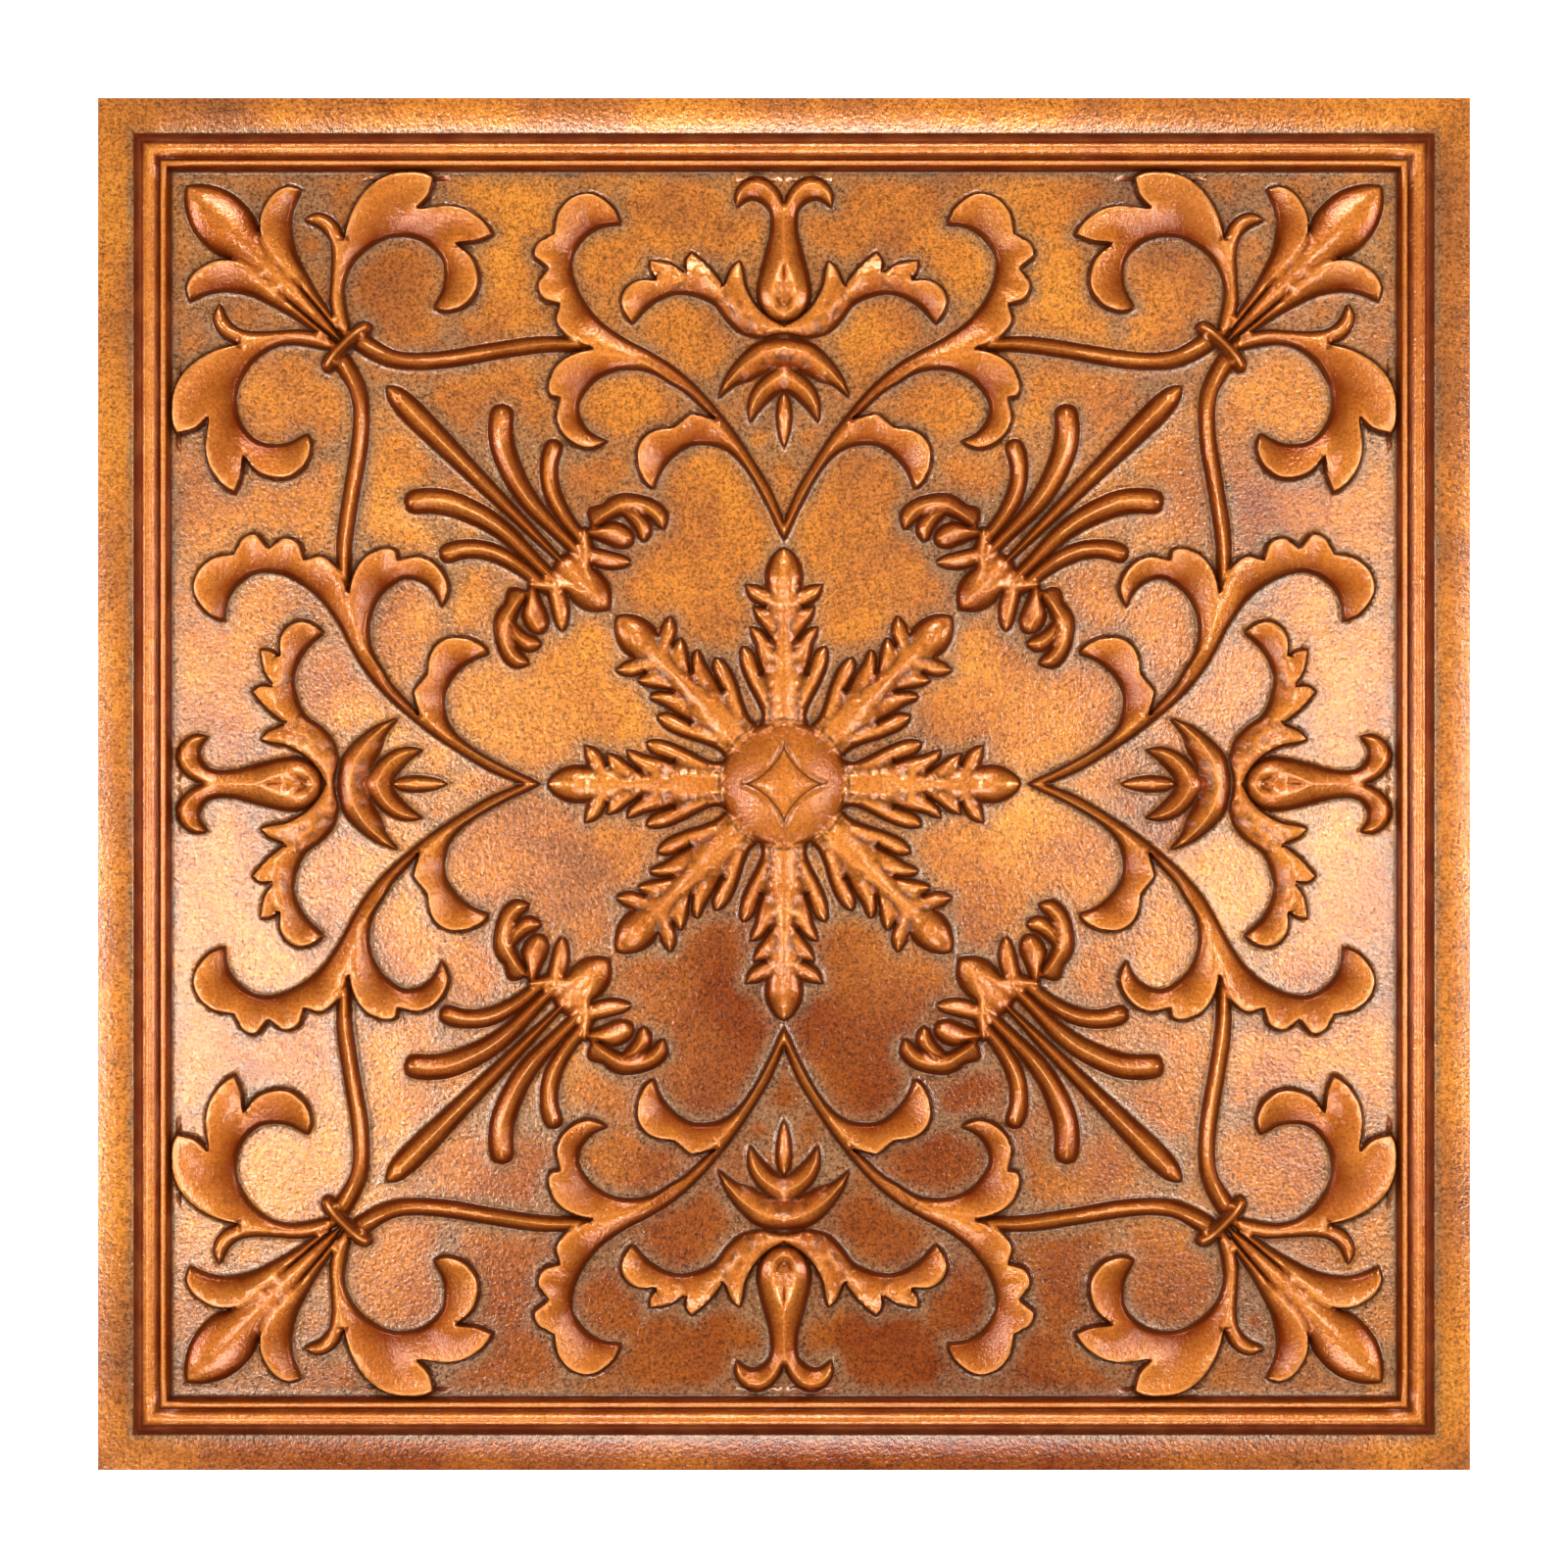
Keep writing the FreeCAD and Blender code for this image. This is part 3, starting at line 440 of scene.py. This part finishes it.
def star_depth(points):
    """How far inside the star each point lies, from its nearest arc, and negative outside it."""
    x, y = points[:, 0], points[:, 1]
    right = np.hypot(x - STAR_CENTRE, y - STAR_CENTRE) - STAR_ROUND
    return np.minimum(right, np.hypot(x + STAR_CENTRE, y - STAR_CENTRE) - STAR_ROUND)


def relief(points):
    """Height of the ornament at points and its share of the nearest crest's height."""
    rise, lift = np.zeros(len(points)), np.zeros(len(points))
    for m in motifs:
        up, part = motif_height(m, points)
        lift = np.where(up > rise, part, lift)
        rise = np.maximum(rise, up)
    for line, depth, width in creases:
        c = smooth(line, CREST_STEP)
        rise -= depth * np.exp(-(nearest(points, c[:-1], c[1:]) / width) ** 2) * np.clip(rise - 1.5, 0, 1)
    deep = nearest(points, teardrop, np.roll(teardrop, -1, 0))
    rise -= np.where(inside(points, teardrop), np.clip(deep / TEARDROP_WALL, 0, 1) * TEARDROP_DEPTH, 0)
    x, y = points[:, 0], points[:, 1]
    r = np.hypot(x, y)
    fall = (r / DOME_RADIUS) ** 2
    dome = (DOME_TOP - DOME_FALL * fall) * np.clip((BOSS_EDGE - r) / BOSS_ROUNDING, 0, 1) ** 0.5
    star = star_depth(points)
    scribed = STAR_CUT * np.exp(-((star - 0.1) / 0.5) ** 2) + STAR_SINK * np.clip(star / 0.8, 0, 1)
    lift = np.where((r < BOSS_EDGE) & (dome > rise), 1 - 0.35 * fall, lift)
    rise = np.where(r < BOSS_EDGE, np.maximum(dome - scribed, rise * (r > ARM_LIMIT)), rise)
    rise -= GROOVE_DEPTH * np.exp(-((r - BOSS_GROOVE) / 0.45) ** 2) * (rise > 1.5)
    beads = np.interp(y, bead_y, bead_z, right=0.0)
    rise = np.where(y > FIELD_EDGE, np.maximum(rise * (y < LEAF_LIMIT), beads), rise)
    lift = np.where(y > FIELD_EDGE, np.interp(y, bead_y, bead_lift), lift)
    return rise, lift


def height(points):
    """Height of the ornament alone."""
    return relief(points)[0]


def ink(points):
    """How dark the fine lines are painted at points, from 0 to 1: patina in them, partly painted shade."""
    dark = np.zeros(len(points))
    for line, depth, width in creases:
        c = smooth(line, CREST_STEP)
        dark = np.maximum(dark, min(1, depth) * np.exp(-(nearest(points, c[:-1], c[1:]) / width) ** 2))
    r = np.hypot(points[:, 0], points[:, 1])
    dark = np.maximum(dark, np.exp(-((star_depth(points) + 0.1) / 0.55) ** 2) * (r < 20))
    return np.maximum(dark, 0.45 * np.exp(-((r - BOSS_GROOVE) / 0.4) ** 2))


# The sheet's mesh: an octant is triangulated on the drawn lines and mirrored round, once fine for the
# front and once coarse for the back, and the two are joined by the thin cut edge

HALF_SIDE = 301.5
THICKNESS = 0.5
METRE = 1000
FOOT_ROUND_BOSS = 28.4
BURIED = 2.6  # a foot line is left out where another motif stands higher than this
SHARP_KEEL = 0.45  # crests sharper than this have a row of points on each side
KEEL_ROW = 0.55
CELL = 6  # side of the squares in which near points are looked for
COARSE, FINE = 24, 130  # steps along a straight line
BOSS_ROWS = (27.6, 26.6, 25.2)
STAR_ROWS = (-0.6, 0.1, 0.8)
FOOT_ROWS_END = 268.2  # how far out the rows beside the foot lines are kept
FORM_FILL_END, FIELD_FILL_END = 267.9, 263.5  # and the points that fill the forms and the field
ROW_SHARE = 0.866  # distance of two rows of the fill, as a share of its spacing


def clip(line):
    """The stretches of a line that lie in the octant, cut where they cross its two edges."""
    pieces, run = [], []
    for a, b in zip(line[:-1], line[1:]):
        t0, t1 = 0.0, 1.0
        for fa, fb in ((a[0], b[0]), (a[1] - a[0], b[1] - b[0])):
            if fa < 0 and fb < 0:
                t0, t1 = 1.0, 0.0
            elif fa < 0:
                t0 = max(t0, fa / (fa - fb))
            elif fb < 0:
                t1 = min(t1, fa / (fa - fb))
        if t1 - t0 < 1e-6:
            if run:
                pieces.append(run)
            run = []
            continue
        p, q = a + (b - a) * t0, a + (b - a) * t1
        if not run:
            run = [p]
        run.append(q)
        if t1 < 1:
            pieces.append(run)
            run = []
    return pieces + ([run] if run else [])


def arc(radius, count=16):
    """Points of the octant's arc round the tile's middle."""
    turns = np.linspace(0, math.pi / 4, count)
    return np.array([(radius * math.sin(t), radius * math.cos(t)) for t in turns])


def across(y, count):
    """Points of the octant's straight line at one distance from the tile's middle."""
    return [np.array((x, y)) for x in np.linspace(0, y, count + 1)]


feet, crests, ridges = [], [], []
for m in motifs:
    ring = np.vstack([m["line"], m["line"][:1]])
    others = np.zeros(len(ring))
    for other in motifs:
        if other is not m:
            others = np.maximum(others, motif_height(other, ring)[0])
    shown = (others < BURIED) & (np.hypot(ring[:, 0], ring[:, 1]) > FOOT_ROUND_BOSS)
    for run in np.split(np.arange(len(ring)), np.where(~shown)[0]):
        run = run[shown[run]]
        if len(run) > 1:
            feet += clip(ring[run])
    for crest in m["crests"]:
        crests += clip(crest[:, :2])
        if m["keel"] > SHARP_KEEL and not m["low"]:
            ridges += clip(crest[:, :2])
feet, ridges = [np.array(p) for p in feet], [np.array(p) for p in ridges]
feet.append(arc(FOOT_ROUND_BOSS))
foot_a = np.vstack([p[:-1] for p in feet])
foot_b = np.vstack([p[1:] for p in feet])


def beside(line, gap):
    """The two lines that run beside a drawn one."""
    t = np.gradient(line, axis=0)
    t /= np.maximum(np.linalg.norm(t, axis=1), 1e-9)[:, None]
    n = np.stack([-t[:, 1], t[:, 0]], 1) * gap
    return [line + n, line - n]


def triangulate(step, offsets, fill_in, fill_out, beads):
    """Flat triangles of the octant that follow the foot lines, the crests and the beads."""
    verts, edges, cells = [], [], {}

    def near(p, gap):
        i, j = int(p[0] // CELL), int(p[1] // CELL)
        for u in (i - 1, i, i + 1):
            for v in (j - 1, j, j + 1):
                for q in cells.get((u, v), ()):
                    if (q[0] - p[0]) ** 2 + (q[1] - p[1]) ** 2 < gap * gap:
                        return True
        return False

    def put(p):
        cells.setdefault((int(p[0] // CELL), int(p[1] // CELL)), []).append((p[0], p[1]))
        verts.append((float(p[0]), float(p[1])))
        return len(verts) - 1

    def draw(points):
        ids = [put(p) for p in points]
        edges.extend(zip(ids[:-1], ids[1:]))

    draw(across(HALF_SIDE, COARSE))
    for y in beads:
        by_the_leaves = 266 < y < 269
        draw(across(y, FINE if by_the_leaves else COARSE))
    count = int(FIELD_EDGE / step / 1.3)
    draw([np.array((t, t)) for t in np.linspace(0, FIELD_EDGE, count)])
    draw([np.array((0, t)) for t in np.linspace(0, FIELD_EDGE, count)])
    for radius in BOSS_ROWS:
        draw(arc(radius))
    for inset in STAR_ROWS:
        reach = STAR_ROUND + inset
        first = math.asin((STAR_CENTRE - 0.02) / reach)
        turns = np.linspace(math.pi / 4, math.pi - first - math.pi / 2, 12)
        star = [(STAR_CENTRE - reach * math.cos(t), STAR_CENTRE - reach * math.sin(t)) for t in turns]
        draw([p for p in star if 0 < p[0] < p[1]])
    for lines, gap in ((feet, step), (crests, step * 1.3)):
        for line in lines:
            q = np.array(line)
            along = np.concatenate([[0], np.cumsum(np.linalg.norm(np.diff(q, axis=0), axis=1))])
            at = np.linspace(0, along[-1], max(1, int(round(along[-1] / gap))) + 1)
            draw(np.stack([np.interp(at, along, q[:, 0]), np.interp(at, along, q[:, 1])], 1))
    for off in offsets:
        rows = []
        for line in feet:
            rows += beside(line, off)
        if off == offsets[0]:
            for line in ridges:
                rows += beside(line, KEEL_ROW)
        rows = np.vstack(rows)
        rows = rows[nearest(rows, foot_a, foot_b) > min(off, 0.6) * 0.9]
        room = 0.5 if off < 1 else step * 0.55
        for p in rows:
            if p[0] > 0.5 and p[1] - p[0] > 0.7 and p[1] < FOOT_ROWS_END and not near(p, room):
                put(p)
    for spacing, raised in ((fill_in, True), (fill_out, False)):
        columns, rows = np.arange(0.5, HALF_SIDE, spacing), np.arange(0.5, HALF_SIDE, spacing * ROW_SHARE)
        gx, gy = np.meshgrid(columns, rows)
        gx = gx + (np.arange(len(gy)) % 2)[:, None] * spacing / 2
        g = np.stack([gx.ravel(), gy.ravel()], 1)
        end = FORM_FILL_END if raised else FIELD_FILL_END
        g = g[(g[:, 0] > 0.6) & (g[:, 1] - g[:, 0] > 0.9) & (g[:, 1] < end)]
        if raised:
            g = g[height(g) > 0.5]
        for p in g:
            if not near(p, spacing * 0.72):
                put(p)
    result = delaunay_2d_cdt([Vector(v) for v in verts], edges, [], 0, 1e-4)
    flat = np.array([tuple(v) for v in result[0]])
    faces = np.array([tuple(f) for f in result[2]])
    mid = flat[faces].mean(1)
    return flat, faces[(mid[:, 0] > 0) & (mid[:, 1] > mid[:, 0]) & (mid[:, 1] < HALF_SIDE)]


WELDS_PER_MM = 200


def whole_tile(flat, faces, columns):
    """Eight mirrored copies of an octant, welded along their shared edges."""
    placed, corners = [], []
    for k in range(8):
        x, y = (flat[:, 0], flat[:, 1]) if k % 2 == 0 else (flat[:, 1], flat[:, 0])
        for _ in range(k // 2):
            x, y = y, -x
        placed.append(np.column_stack([x, y, columns]))
        corners.append((faces if k % 2 == 0 else faces[:, ::-1]) + k * len(flat))
    placed, corners = np.vstack(placed), np.vstack(corners)
    key = np.round(placed[:, :2] * WELDS_PER_MM).astype(np.int64)
    _, first, back = np.unique(key, axis=0, return_index=True, return_inverse=True)
    corners = back.reshape(-1)[corners]
    whole = (corners != np.roll(corners, 1, 1)).all(1)
    return placed[first], corners[whole]


def ring_mean(points, radius, measure=np.mean):
    """Heights around each point, averaged or reduced by another measure."""
    turns = np.linspace(0, 2 * math.pi, 9)[:-1]
    around = []
    for t in turns:
        q = np.abs(points + radius * np.array((math.cos(t), math.sin(t))))
        q = np.stack([q.min(1), q.max(1)], 1)
        around.append(height(q))
    return measure(np.array(around), axis=0)


# Front, with what the paint reads at each point: the distance to the nearest foot (minus outside the
# forms), the hollow round it, the slope, the ink of the fine lines and the share of the crest
ON_A_FORM = 0.36
HOLLOW_REACH = 2.2
NUDGE = 0.35
rows = bead_y + [267.7, 265]
flat, faces = triangulate(step=1.8, offsets=(0.9, 2.2), fill_in=2.5, fill_out=7.0, beads=rows)
rise, lift = relief(flat)
out = flat[:, 1]
edge = nearest(flat, foot_a, foot_b)
edge = np.minimum(edge, np.minimum(np.abs(out - OUTER_FOOT), np.abs(out - INNER_FOOT)))
edge = np.where(rise > ON_A_FORM, edge, -edge)
edge = np.where(out > OUTER_FOOT, edge * 1.7, edge)
hollow = ring_mean(flat, HOLLOW_REACH) - rise
right, left, up, down = [height(np.sort(np.abs(flat + np.array(way) * NUDGE), axis=1))
                         for way in ((1, 0), (-1, 0), (0, 1), (0, -1))]
slope = np.hypot(right - left, up - down) / (2 * NUDGE)
columns = np.stack([rise + THICKNESS, edge, hollow, slope, ink(flat), lift], 1)
front, front_faces = whole_tile(flat, faces, columns)

# Back, which follows the forms a little lower, so that the sheet keeps its thickness on their walls
WALL_REACH = 1.6
BACK_SINK = 0.15
NO_FOOT = 9
rows = bead_y[::3] + [288]
flat, faces = triangulate(step=6.5, offsets=(3.6,), fill_in=9.0, fill_out=25.0, beads=rows)
sunk = np.minimum(height(flat), ring_mean(flat, WALL_REACH, np.min))
sunk = np.maximum(sunk - BACK_SINK, 0)
back, back_faces = whole_tile(flat, faces, np.stack([sunk, sunk * 0 + NO_FOOT] + [sunk * 0] * 4, 1))

# Both are put together in one mesh, closed round the cut edge
SOFT_ANGLE = 1.2
bm = bmesh.new()
layers = [bm.verts.layers.float.new(name) for name in ("edge", "cavity", "slope", "ink", "lift")]
for table, corners in ((front, front_faces), (back, back_faces[:, ::-1])):
    made = []
    for row in table.tolist():
        v = bm.verts.new([length / METRE for length in row[:3]])
        for layer, value in zip(layers, row[3:]):
            v[layer] = value
        made.append(v)
    for corner in corners.tolist():
        bm.faces.new([made[i] for i in corner])
rim = [e for e in bm.edges if e.is_boundary]
bmesh.ops.bridge_loops(bm, edges=rim)
for e in bm.edges:
    e.smooth = len(e.link_faces) < 2 or e.calc_face_angle(0) < SOFT_ANGLE
for f in bm.faces:
    f.smooth = True
bmesh.ops.recalc_face_normals(bm, faces=bm.faces)
mesh = bpy.data.meshes.new("PressedSheet")
bm.to_mesh(mesh)
bm.free()
sheet = bpy.data.objects.new("PressedSheet", mesh)
bpy.context.scene.collection.objects.link(sheet)
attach(sheet, "root")
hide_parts("pressed_sheet")

# Aged copper paint: mottled orange with a fine speckle and a few brown stains, brown patina with painted
# shade along the foot lines and in the hollows, a grey film on the field just outside them, painted shade
# on the flanks, a painted highlight on the crests, and an orange-peel bump

STAIN = (0.27, 0.042, 0.001)
FILM = (0.36, 0.20, 0.095)
TOP_DARK, TOP_LIGHT = (0.74, 0.185, 0.015), (1.0, 0.31, 0.035)
FLANK_SHADE = (0.20, 0.024, 0.001)
PATINA_AND_SHADE = (0.065, 0.018, 0.005)
CREST_HIGHLIGHT = (1.0, 0.38, 0.09)
paint = bpy.data.materials.new("AgedCopperPaint")
paint.use_nodes = True
tree = paint.node_tree
nodes, links = tree.nodes, tree.links
shader = nodes["Principled BSDF"]
shader.inputs["Metallic"].default_value = 0.55
shader.inputs["Specular IOR Level"].default_value = 0.0
shader.inputs["Coat IOR"].default_value = 1.65
shader.inputs["Coat Roughness"].default_value = 0.055
place = nodes.new("ShaderNodeTexCoord")


def feed(socket, value):
    """Sets a socket to a number or a colour, or links it to another node's output."""
    if isinstance(value, (int, float)):
        socket.default_value = value
    elif isinstance(value, tuple):
        socket.default_value = (*value, 1)
    else:
        links.new(value, socket)


def noise(scale, detail, rough=0.55, distort=0.0):
    """Cloudy noise on the piece's own coordinates."""
    n = nodes.new("ShaderNodeTexNoise")
    n.inputs["Scale"].default_value = scale
    n.inputs["Detail"].default_value = detail
    n.inputs["Roughness"].default_value = rough
    n.inputs["Distortion"].default_value = distort
    links.new(place.outputs["Object"], n.inputs["Vector"])
    return n.outputs["Fac"]


def ramp(source, stops):
    """Colours along a value, from stops of position and colour."""
    n = nodes.new("ShaderNodeValToRGB")
    marks = n.color_ramp.elements
    while len(marks) < len(stops):
        marks.new(0.5)
    for mark, (position, color) in zip(marks, stops):
        mark.position = position
        mark.color = (*color, 1)
    links.new(source, n.inputs["Fac"])
    return n.outputs["Color"]


def mapped(source, low, high, out_low, out_high):
    """A value carried from one range to another, and held within it."""
    n = nodes.new("ShaderNodeMapRange")
    for name, value in (("From Min", low), ("From Max", high), ("To Min", out_low), ("To Max", out_high)):
        n.inputs[name].default_value = value
    links.new(source, n.inputs["Value"])
    return n.outputs["Result"]


def blend(kind, factor, a, b):
    """Two colours mixed or multiplied by a factor."""
    n = nodes.new("ShaderNodeMix")
    n.data_type = "RGBA"
    n.blend_type = kind
    for number, value in ((0, factor), (6, a), (7, b)):
        feed(n.inputs[number], value)
    return n.outputs[2]


def maths(kind, a, b):
    """Two values added, multiplied or compared."""
    n = nodes.new("ShaderNodeMath")
    n.operation = kind
    feed(n.inputs[0], a)
    feed(n.inputs[1], b)
    return n.outputs[0]


def attribute(name):
    """What the sheet's mesh holds under a name."""
    n = nodes.new("ShaderNodeAttribute")
    n.attribute_name = name
    return n.outputs["Fac"]


edge_mm, hollow, slant = attribute("edge"), attribute("cavity"), attribute("slope")
lines, lift_part = attribute("ink"), attribute("lift")
raised = mapped(edge_mm, 0.0, 0.5, 0, 1)
mottle = ramp(noise(14, 5, 0.6, 0.4), [(0.26, (0.30, 0.10, 0.035)), (0.44, (0.64, 0.195, 0.035)),
                                      (0.55, (0.84, 0.27, 0.034)), (0.70, (1.0, 0.35, 0.042))])

# Stains, as place and radius in millimetres and depth, each fading out from a quarter of its radius
stains = [(-13, -90, 78, 1.0), (58, -140, 80, 0.9), (-75, -205, 90, 0.8), (165, -12, 34, 0.6),
          (60, -300, 250, 1.0), (-180, -300, 130, 0.9), (-190, 235, 60, 0.4), (190, 120, 60, 0.4),
          (100, -70, 50, 0.35), (225, -235, 60, 0.5)]
for x, y, radius, depth in stains:
    away = nodes.new("ShaderNodeVectorMath")
    away.operation = "DISTANCE"
    links.new(place.outputs["Object"], away.inputs[0])
    away.inputs[1].default_value = (x / METRE, y / METRE, 0)
    patch = mapped(away.outputs["Value"], radius / METRE, 0.25 * radius / METRE, 0, depth)
    patch = maths("MULTIPLY", patch, mapped(noise(38, 4), 0.3, 0.6, 0.7, 1))
    mottle = blend("MIX", patch, mottle, STAIN)

# Speckle, then the grey film beside the forms, the brighter tops, painted shade on their flanks (partly a
# darker glaze), the patina with painted shade and a painted highlight on the crests
grain = ramp(noise(720, 3, 0.8), [(0.34, (0.10, 0.08, 0.09)), (0.46, (0.72, 0.70, 0.69)),
                                  (0.60, (1.32, 1.36, 1.42))])
color = blend("MULTIPLY", 0.8, mottle, grain)
film = maths("MULTIPLY", mapped(edge_mm, -7.0, -0.4, 0, 1), mapped(edge_mm, -0.1, 0.2, 1, 0))
film = maths("MULTIPLY", film, mapped(noise(45, 4), 0.36, 0.6, 0.3, 0.95))
color = blend("MIX", film, color, blend("MULTIPLY", 1, grain, FILM))
top_color = blend("MIX", mapped(noise(30, 4), 0.35, 0.65, 0, 1), TOP_DARK, TOP_LIGHT)
top_color = blend("MULTIPLY", 0.45, top_color, grain)
color = blend("MIX", maths("MULTIPLY", raised, 0.8), color, top_color)
# Painted shade, partly a darker glaze: red-brown on the lower parts of the forms and on their steep slopes.
flank_shade = maths("MULTIPLY", mapped(lift_part, 0.56, 1.0, 1, 0), raised)
flank_shade = maths("MULTIPLY", flank_shade, mapped(noise(70, 3), 0.35, 0.6, 0.85, 1))
flank_shade = maths("MAXIMUM", flank_shade, mapped(slant, 0.6, 1.4, 0, 0.8))
color = blend("MIX", flank_shade, color, FLANK_SHADE)
# Dark brown along the foot lines on both sides, in the hollows and in the fine lines: patina, partly
# painted shade.
near_foot = maths("MULTIPLY", mapped(edge_mm, -0.8, 0, 0, 0.8), mapped(edge_mm, 0.3, 1.1, 1, 0))
deep = mapped(hollow, 0.3, 1.5, 0, 0.8)
patina_and_shade = maths("MAXIMUM", maths("MAXIMUM", near_foot, deep), lines)
patina_and_shade = maths("MULTIPLY", patina_and_shade, mapped(noise(260, 3), 0.3, 0.6, 0.75, 1))
color = blend("MIX", maths("MULTIPLY", patina_and_shade, 0.9), color, PATINA_AND_SHADE)
# Painted highlight, partly rubbed paint: lighter copper along the crests and convex tops.
crest = maths("MULTIPLY", mapped(lift_part, 0.9, 1.0, 0, 0.7), mapped(hollow, -0.3, -1.3, 0.1, 1))
color = blend("MIX", crest, color, CREST_HIGHLIGHT)

links.new(color, shader.inputs["Base Color"])
links.new(mapped(patina_and_shade, 0, 1, 0.36, 0.55), shader.inputs["Roughness"])

# A glossy coat on the tops and the field, nearly gone on the flanks and in the patina, over a fine bump
links.new(mapped(maths("MAXIMUM", flank_shade, patina_and_shade), 0, 1, 0.95, 0.15), shader.inputs["Coat Weight"])
bump = nodes.new("ShaderNodeBump")
bump.inputs["Strength"].default_value = 0.55
bump.inputs["Distance"].default_value = 0.0004
links.new(noise(620, 3, 0.6), bump.inputs["Height"])
links.new(bump.outputs["Normal"], shader.inputs["Normal"])
links.new(bump.outputs["Normal"], shader.inputs["Coat Normal"])
mesh.materials.append(paint)

# Studio floor, matt and pale, a hair below the sheet. It glows a little for the camera and for glossy
# reflections, so that it looks white and the paint's gloss shows it.

FLOOR_REACH = 3  # metres, as all of the studio's sizes
FLOOR_DROP = 0.0002
FLOOR_GLOW = 0.35
corners = [(x * FLOOR_REACH, y * FLOOR_REACH, 0) for x, y in ((-1, -1), (1, -1), (1, 1), (-1, 1))]
floor_mesh = bpy.data.meshes.new("Floor")
floor_mesh.from_pydata(corners, [], [(0, 1, 2, 3)])
floor = bpy.data.objects.new("Floor", floor_mesh)
bpy.context.scene.collection.objects.link(floor)
floor.location.z = -FLOOR_DROP
white = bpy.data.materials.new("FloorWhite")
white.use_nodes = True
nodes, links = white.node_tree.nodes, white.node_tree.links
shader = nodes["Principled BSDF"]
shader.inputs["Base Color"].default_value = (0.95, 0.95, 0.95, 1)
shader.inputs["Roughness"].default_value = 0.9
shader.inputs["Emission Color"].default_value = (1, 1, 1, 1)
path = nodes.new("ShaderNodeLightPath")
seen = maths("ADD", path.outputs["Is Camera Ray"], path.outputs["Is Glossy Ray"])
seen = maths("ADD", seen, path.outputs["Is Transmission Ray"])
links.new(maths("MULTIPLY", seen, FLOOR_GLOW), shader.inputs["Emission Strength"])
floor_mesh.materials.append(white)

# Soft lamps on all four sides, turned to the tile's middle, with a faint even light from the world:
# their place, width, depth and power. The two that hang high beside it put the glints on the forms.

lamps = [("LightLeft", -0.52, -0.16, 1.5, 0.14, 0.4, 4.2),
         ("LightRight", 0.52, -0.04, 1.5, 0.14, 0.4, 3.8),
         ("LightLowLeft", -1.7, 0.0, 1.1, 0.2, 0.6, 11),
         ("LightLowRight", 1.7, 0.0, 1.1, 0.2, 0.6, 11),
         ("LightFront", 0.0, -1.5, 1.7, 0.8, 0.4, 12),
         ("LightBack", 0.0, 1.55, 1.6, 0.8, 0.4, 18)]
for name, x, y, z, wide, tall, power in lamps:
    lamp = bpy.data.lights.new(name, "AREA")
    lamp.shape = "RECTANGLE"
    lamp.size = wide
    lamp.size_y = tall
    lamp.energy = power
    lamp_object = bpy.data.objects.new(name, lamp)
    bpy.context.scene.collection.objects.link(lamp_object)
    lamp_object.location = (x, y, z)
    lamp_object.rotation_euler = (-math.atan2(y, z), math.atan2(x, z), 0)
world = bpy.data.worlds.new("Studio")
bpy.context.scene.world = world
world.use_nodes = True
world.node_tree.nodes["Background"].inputs["Color"].default_value = (1, 1, 1, 1)
world.node_tree.nodes["Background"].inputs["Strength"].default_value = 0.16

# Camera straight above, so high that the tile fills as much of the picture as in the photograph

PICTURE_PIXELS = 1600
TILE_PIXELS = 1400
camera_data = bpy.data.cameras.new("Camera")
camera_data.lens = 85
camera_data.sensor_width = 36
camera = bpy.data.objects.new("Camera", camera_data)
bpy.context.scene.collection.objects.link(camera)
wide = 2 * HALF_SIDE / METRE * PICTURE_PIXELS / TILE_PIXELS
camera.location.z = wide / camera_data.sensor_width * camera_data.lens + THICKNESS / METRE
bpy.context.scene.camera = camera
bpy.context.scene.view_settings.view_transform = "Standard"
